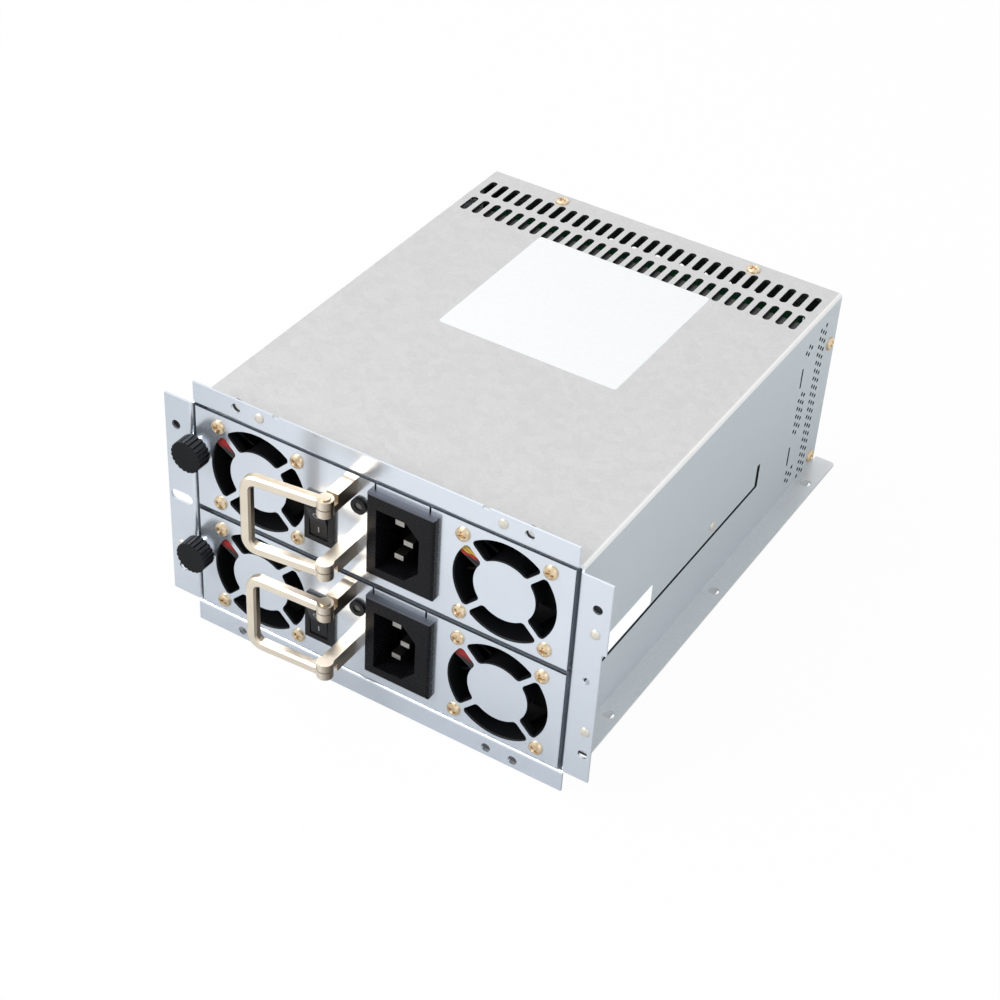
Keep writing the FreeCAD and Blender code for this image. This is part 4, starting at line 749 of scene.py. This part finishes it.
class SUPPLY_OT_stage(bpy.types.Operator):
    """Set up the camera, floor, lamps and sky"""
    bl_idname = "supply.stage"
    bl_label = "Studio"

    def execute(self, context):
        stage = context.scene.supply_stage
        self.add_camera(context, stage)
        self.add_floor(context, stage)
        self.add_lamps(context, stage)
        self.add_sky(context, stage)
        context.scene.view_settings.view_transform = "Standard"
        return {"FINISHED"}

    @staticmethod
    def add_camera(context, stage):
        a, e, roll = stage.camera_azimuth, stage.camera_elevation, stage.camera_roll
        back = Vector((math.sin(a) * math.cos(e), -math.cos(a) * math.cos(e), math.sin(e)))
        right = Vector((math.cos(a), math.sin(a), 0))
        up = back.cross(right)
        turned = Matrix((right * math.cos(roll) + up * math.sin(roll),
                         up * math.cos(roll) - right * math.sin(roll), back)).transposed()
        data = bpy.data.cameras.new("camera")
        data.sensor_width = 36
        data.lens = stage.lens
        data.clip_start, data.clip_end = 0.01, 20
        camera = bpy.data.objects.new("camera", data)
        context.scene.collection.objects.link(camera)
        camera.matrix_world = Matrix.Translation(stage.camera_place) @ turned.to_4x4()
        context.scene.camera = camera

    @staticmethod
    def add_floor(context, stage):
        """A floor just below the front lip and the rear edge, on which the part rests."""
        gap = 0.0003
        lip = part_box("base_plate")[0]
        lowest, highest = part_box("top_cover")
        slope = (lowest.z - lip.z) / highest.y
        half = stage.floor_side / 2
        mesh = bpy.data.meshes.new("floor")
        corners = [(x, y, lip.z + slope * y - gap)
                   for x, y in ((-half, -half), (half, -half), (half, half), (-half, half))]
        mesh.from_pydata(corners, [], [(0, 1, 2, 3)])
        floor = bpy.data.objects.new("floor", mesh)
        context.scene.collection.objects.link(floor)

        finish = Finish("floor", roughness=0.9)
        seen, glossy = finish.ray("Camera"), finish.ray("Glossy")
        x, y, _ = finish.axes()
        beside = x.size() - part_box("right_rail")[1].x
        before = (y - highest.y / 2).size() - highest.y / 2
        aside, ahead = beside.clamp(), before.clamp()
        away = (aside * aside + ahead * ahead).root()
        left = ((-0.1 - x) * 14).clamp()
        # The camera sees white around the part, and the shadow beneath it
        around = (((beside + 0.025) * 120).clamp() + ((before + 0.003) * 400).clamp()).clamp()
        # Polished sheet mirrors a floor with painted shade, darker close by and on the left
        mirrored = (0.2 + away * 5.5) * (1 - left * 0.8)
        share = (seen * around * 0.97 + glossy * mirrored).clamp()
        mirrored_shade = ((1 - away * 8).clamp() + left).clamp()
        finish.feed("Base Color", finish.mix(glossy * mirrored_shade * 0.6, stage.floor_colour,
                                             stage.floor_shade))
        white = finish.node("ShaderNodeEmission", {}, {"Color": WHITE, "Strength": 1.0})
        both = finish.node("ShaderNodeMixShader", {}, {
            0: share, 1: Link(finish, finish.shader.outputs[0]), 2: white})
        finish.connect(both, finish.standing("OUTPUT_MATERIAL").inputs["Surface"])
        mesh.materials.append(finish.material)

    @staticmethod
    def add_lamps(context, stage):
        target = Vector((0.0, 0.09, 0.0))
        # Name, place, side of the square, share of the lamp power, tint
        lamps = (
            ("lamp_front_left", (-0.75, -0.95, 0.80), 0.6, 1.05, (0.97, 0.985, 1.0)),
            ("lamp_top", (-0.58, -0.08, 1.15), 1.1, 0.68, (1.0, 0.99, 0.975)),
            ("lamp_right", (1.0, -0.30, 0.72), 0.7, 0.26, (0.9, 0.95, 1.0)),
            ("lamp_rear", (-0.3, 1.4, 0.7), 0.9, 0.12, WHITE),
        )
        for name, place, side, share, tint in lamps:
            data = bpy.data.lights.new(name, "AREA")
            data.shape = "SQUARE"
            data.size = side
            data.energy = stage.lamp_power * share
            data.color = tint
            lamp = bpy.data.objects.new(name, data)
            context.scene.collection.objects.link(lamp)
            lamp.location = place
            lamp.rotation_euler = (target - Vector(place)).to_track_quat("-Z", "Y").to_euler()

    @staticmethod
    def add_sky(context, stage):
        """Even light, seen as white by the camera, by metal and through clear pieces."""
        world = bpy.data.worlds.new("sky")
        context.scene.world = world
        world.use_nodes = True
        sky = Graph(world.node_tree)
        white = sky.ray("Camera").larger(sky.ray("Transmission")).larger(sky.ray("Glossy"))
        back = sky.standing("BACKGROUND").inputs
        sky.connect(white * (1 - stage.sky_level) + stage.sky_level, back["Strength"])
        sky.connect(sky.mix(white, stage.sky_colour, WHITE), back["Color"])


class SUPPLY_OT_housing(bpy.types.Operator):
    """Finish the folded sheet of the housing, its rails and its tapped parts"""
    bl_idname = "supply.housing"
    bl_label = "Housing"

    def execute(self, context):
        sheet = context.scene.supply_sheet
        paint(galvanised_sheet(sheet), "top_cover", "base_plate")
        paint(rail_sheet("rail_steel", sheet.rail_colour), "left_rail", "right_rail")
        # The shelf is painted dark as painted shade in the gap between the modules
        paint(rail_sheet("shelf_steel", sheet.shelf_shade_colour, metallic=0.2), "mid_shelf")
        paint(rear_sheet(sheet), "rear_panel")
        paint(plated_metal("tapped_steel", (0.55, 0.56, 0.58), 0.4),
              "nut_plates", "backplane_standoffs")
        return {"FINISHED"}


class SUPPLY_OT_modules(bpy.types.Operator):
    """Finish the sheet metal of both sliding modules"""
    bl_idname = "supply.modules"
    bl_label = "Modules"

    def execute(self, context):
        paint(plated_sheet(context.scene.supply_sheet), *in_modules("tray", "lid"))
        return {"FINISHED"}


class SUPPLY_OT_plastics(bpy.types.Operator):
    """Finish fans, leads, inlets, switches, knobs, lamps and the bushing"""
    bl_idname = "supply.plastics"
    bl_label = "Plastic parts"

    def execute(self, context):
        black = context.scene.supply_hardware.black
        paint(moulded_plastic("black_plastic", black),
              *in_modules("switch_frame", "lamp_holder"), "outlet_bushing")
        paint(moulded_plastic("fan_plastic", scaled(black, 0.8), roughness=0.4),
              *in_modules(*("%s_fan_%s" % (side, part) for side in FAN_SIDES
                            for part in ("frame", "rotor"))))
        # Inlets and knobs carry a painted highlight on their upward faces
        paint(moulded_plastic("inlet_plastic", scaled(black, 0.6), roughness=0.26, gloss=0.12,
                              depth=0.00001, highlight_tone=(0.12, 0.13, 0.16), highlight_level=0.0150),
              *in_modules("inlet"))
        paint(moulded_plastic("knob_plastic", scaled(black, 0.6), roughness=0.32, gloss=0.12,
                              highlight_tone=(0.045, 0.05, 0.055)), *in_modules("thumbscrew"))
        paint(moulded_plastic("rocker_plastic", scaled(black, 0.9), roughness=0.3),
              *in_modules("rocker"))
        paint(lead_insulation(black), *in_modules("fan_leads"))
        paint(speckled("lamp_lens", (0.045, 0.055, 0.05), 0.01, roughness=0.2, Coat_Weight=0.6),
              *in_modules("lamp"))
        return {"FINISHED"}


class SUPPLY_OT_metalwork(bpy.types.Operator):
    """Finish handles, posts, hinge pins and contact pins"""
    bl_idname = "supply.metalwork"
    bl_label = "Handles and pins"

    def execute(self, context):
        tone = context.scene.supply_hardware.handle_colour
        # The handles and posts carry painted shade by facing
        paint(plated_metal("warm_nickel", tone, 0.34, spread=0.03, facing_shade=0.92),
              *in_modules("handle", "handle_posts", "hinge_pins"))
        paint(plated_metal("contact_pins", (0.42, 0.41, 0.39), 0.3), *in_modules("inlet_pins"))
        return {"FINISHED"}


class SUPPLY_OT_circuits(bpy.types.Operator):
    """Finish the boards and what they carry"""
    bl_idname = "supply.circuits"
    bl_label = "Circuits"

    def execute(self, context):
        paint(circuit_board(), "backplane_board", *in_modules("main_board"))
        paint(moulded_plastic("connector_plastic", (0.03, 0.03, 0.032), roughness=0.5),
              "backplane_sockets", *in_modules("edge_connector"))
        paint(plated_metal("bare_aluminium", (0.72, 0.73, 0.74), 0.4), *in_modules("heat_sinks"))
        paint(moulded_plastic("capacitor_sleeve", (0.03, 0.035, 0.06), roughness=0.3),
              *in_modules("capacitors"))
        paint(moulded_plastic("wound_core", (0.12, 0.10, 0.05), grain=900.0, roughness=0.5),
              *in_modules("transformer"))
        return {"FINISHED"}


class SUPPLY_OT_fasteners(bpy.types.Operator):
    """Stand the screws, rivets and press nuts of the housing and modules"""
    bl_idname = "supply.fasteners"
    bl_label = "Screws and rivets"

    def execute(self, context):
        hardware = context.scene.supply_hardware
        gold = plated_metal("gold_chromate", hardware.gold, 0.34, spread=0.12, scale=700.0)
        pale = plated_metal("pale_rivet", hardware.rivet_colour, 0.4, spread=0.06, scale=700.0,
                            metallic=0.6)
        tree = fastener_tree()
        head = cross_head(hardware)
        for seed, module in enumerate(MODULES, 3):
            node = module + "_fan_screws"
            stand_fasteners(module + "_fan_screw_heads", tree, head, on_front(node), gold,
                            module + "_module", node, seed=seed)
        screws, rivets = self.housing_spots(hardware)
        stand_fasteners("housing_screw_heads", tree, head, screws, gold, "housing",
                        "housing_screws", seed=7)
        stand_fasteners("flange_rivet_heads", tree, rivet_head(hardware),
                        rivets + on_front("flange_rivets"), pale, "housing", "flange_rivets",
                        seed=9)
        self.add_press_nuts(hardware, tree)
        return {"FINISHED"}

    @staticmethod
    def housing_spots(hardware):
        """Screws on the roof and sides, and the rivets that hold the shelf to the sides."""
        screws, rivets = [], []
        for low, high in solid_boxes("housing_screws"):
            centre = (low + high) / 2
            if abs(centre.x) > 0.8 * WALL_X:
                side = math.copysign(1, centre.x)
                small = (high - low).y < 1.8 * hardware.screw_radius
                spot = ((side * WALL_X, centre.y, centre.z), (side, 0, 0))
                (rivets if small else screws).append(spot)
            else:
                screws.append(((centre.x, centre.y, ROOF_Z), (0, 0, 1)))
        return screws, rivets

    @staticmethod
    def add_press_nuts(hardware, tree):
        """Bushes behind the upper bolt holes of the ears and behind the roof flange's, near black
        as painted shade in the holes.
        """
        # Near-black colour: painted shade in the bolt holes
        black = plated_metal("black_oxide", (0.05, 0.05, 0.055), 0.45, spread=0.01, scale=400.0,
                             metallic=0.5)
        patterns = {mount["name"]: mount["dims"] for mount in frame["record"]["mounts"]}
        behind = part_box("flange_rivets")[1].y
        for place, mount, height in (("ear", "front_side_bolts", hardware.nut_height),
                                     ("roof", "front_top_bottom_bolts", hardware.low_nut_height)):
            x = patterns[mount]["spacing_x_mm"] / 2 * MM
            z = patterns[mount]["spacing_y_mm"] / 2 * MM
            hole = patterns[mount]["hole_r_mm"] * MM
            nut = press_nut(hole, hole + hardware.nut_wall, height)
            stand_fasteners(place + "_flange_press_nuts", tree, nut,
                            [((way * x, behind, z), (0, 1, 0)) for way in (-1, 1)], black,
                            "housing", slot="plain_steel", seed=11)


class SUPPLY_OT_labels(bpy.types.Operator):
    """Stick the two blank labels on the roof and on the side"""
    bl_idname = "supply.labels"
    bl_label = "Labels"

    def execute(self, context):
        sheet = context.scene.supply_sheet
        paper = paper_label()
        roof_corner, side_corner = 0.0012, 0.0008
        roof = [(x, y, ROOF_Z) for x, y in rounded(*sheet.roof_label, roof_corner)]
        side = [(WALL_X, y, z) for y, z in rounded(*sheet.side_label, side_corner)]
        self.stick("roof_label", roof, Vector((0, 0, sheet.label_lift)), paper)
        self.stick("side_label", side, Vector((sheet.label_lift, 0, 0)), paper)
        return {"FINISHED"}

    @staticmethod
    def stick(name, outline, lift, paper):
        mesh = mesh_from(lambda form: slab(form, outline, lift), name)
        keep(name, mesh, paper, "housing", smooth=False)


class SUPPLY_OT_switch_marks(bpy.types.Operator):
    """Mark the on and off ends of the rockers"""
    bl_idname = "supply.switch_marks"
    bl_label = "Switch marks"

    def execute(self, context):
        ink = speckled("mark_ink", context.scene.supply_hardware.ink, 0.03)
        for module in MODULES:
            self.mark(module, ink)
        return {"FINISHED"}

    @staticmethod
    def mark(module, ink):
        """A ring on the upper half of the rocker's face and a bar on the lower, a hair proud."""
        spread, start, proud, depth = 0.0034, 0.01, 0.00005, 0.00006
        half_width, half_length = 0.0002, 0.0011
        inner, outer, steps = 0.0009, 0.0013, 20
        low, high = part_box(module + "_rocker")
        x, middle = (low.x + high.x) / 2, (low.z + high.z) / 2
        drop = surface_points(NODES[module + "_rocker"])
        bar = [[(-half_width, -half_length), (half_width, -half_length),
                (half_width, half_length), (-half_width, half_length)]]
        turns = [math.tau * i / steps for i in range(steps + 1)]
        circle = [[(r * math.cos(a), r * math.sin(a))
                   for r, a in ((inner, a0), (outer, a0), (outer, a1), (inner, a1))]
                  for a0, a1 in zip(turns, turns[1:])]

        def make(form):
            for outlines, z in ((bar, middle - spread), (circle, middle + spread)):
                at, normal = drop(Vector((x, low.y - start, z)))
                across = Vector((1, 0, 0))
                along = normal.cross(across).normalized()
                base = at + normal * proud
                for outline in outlines:
                    slab(form, [base + across * a + along * b for a, b in outline],
                         normal * depth)

        name = module + "_rocker_marks"
        keep(name, mesh_from(make, name), ink, module + "_rocker_key", smooth=False)


def surface_points(item):
    """A function that drops a point along +Y onto the surface: place and outward direction."""
    tree = BVHTree.FromPolygons([v.co for v in item.data.vertices],
                                [p.vertices for p in item.data.polygons])

    def drop(start):
        at, normal, _, _ = tree.ray_cast(start, Vector((0, 1, 0)))
        if at is None:
            raise RuntimeError("no surface behind the point on " + item.name)
        return at, normal

    return drop


class SUPPLY_PT_panel(bpy.types.Panel):
    """Lists the makers of the finish and their settings"""
    bl_label = "Power Supply"
    bl_idname = "SUPPLY_PT_panel"
    bl_space_type = "VIEW_3D"
    bl_region_type = "UI"
    bl_category = "Power Supply"

    def draw(self, context):
        for maker in MAKERS:
            self.layout.operator(maker.bl_idname)
        for group in GROUPS:
            box = self.layout.box()
            values = getattr(context.scene, group)
            for name in values.bl_rna.properties.keys():
                if name not in ("rna_type", "name"):
                    box.prop(values, name)


MAKERS = (SUPPLY_OT_stage, SUPPLY_OT_housing, SUPPLY_OT_modules, SUPPLY_OT_plastics,
          SUPPLY_OT_metalwork, SUPPLY_OT_circuits, SUPPLY_OT_fasteners, SUPPLY_OT_labels,
          SUPPLY_OT_switch_marks)
GROUPS = {"supply_stage": StageSettings, "supply_sheet": SheetSettings,
          "supply_hardware": HardwareSettings}
CLASSES = (*GROUPS.values(), *MAKERS, SUPPLY_PT_panel)


def register():
    for item in CLASSES:
        bpy.utils.register_class(item)
    for name, kind in GROUPS.items():
        setattr(bpy.types.Scene, name, bpy.props.PointerProperty(type=kind))


def unregister():
    for name in GROUPS:
        delattr(bpy.types.Scene, name)
    for item in reversed(CLASSES):
        bpy.utils.unregister_class(item)


def main():
    register()
    for maker in MAKERS:
        family, name = maker.bl_idname.split(".")
        getattr(getattr(bpy.ops, family), name)()


if __name__ == "__main__":
    main()
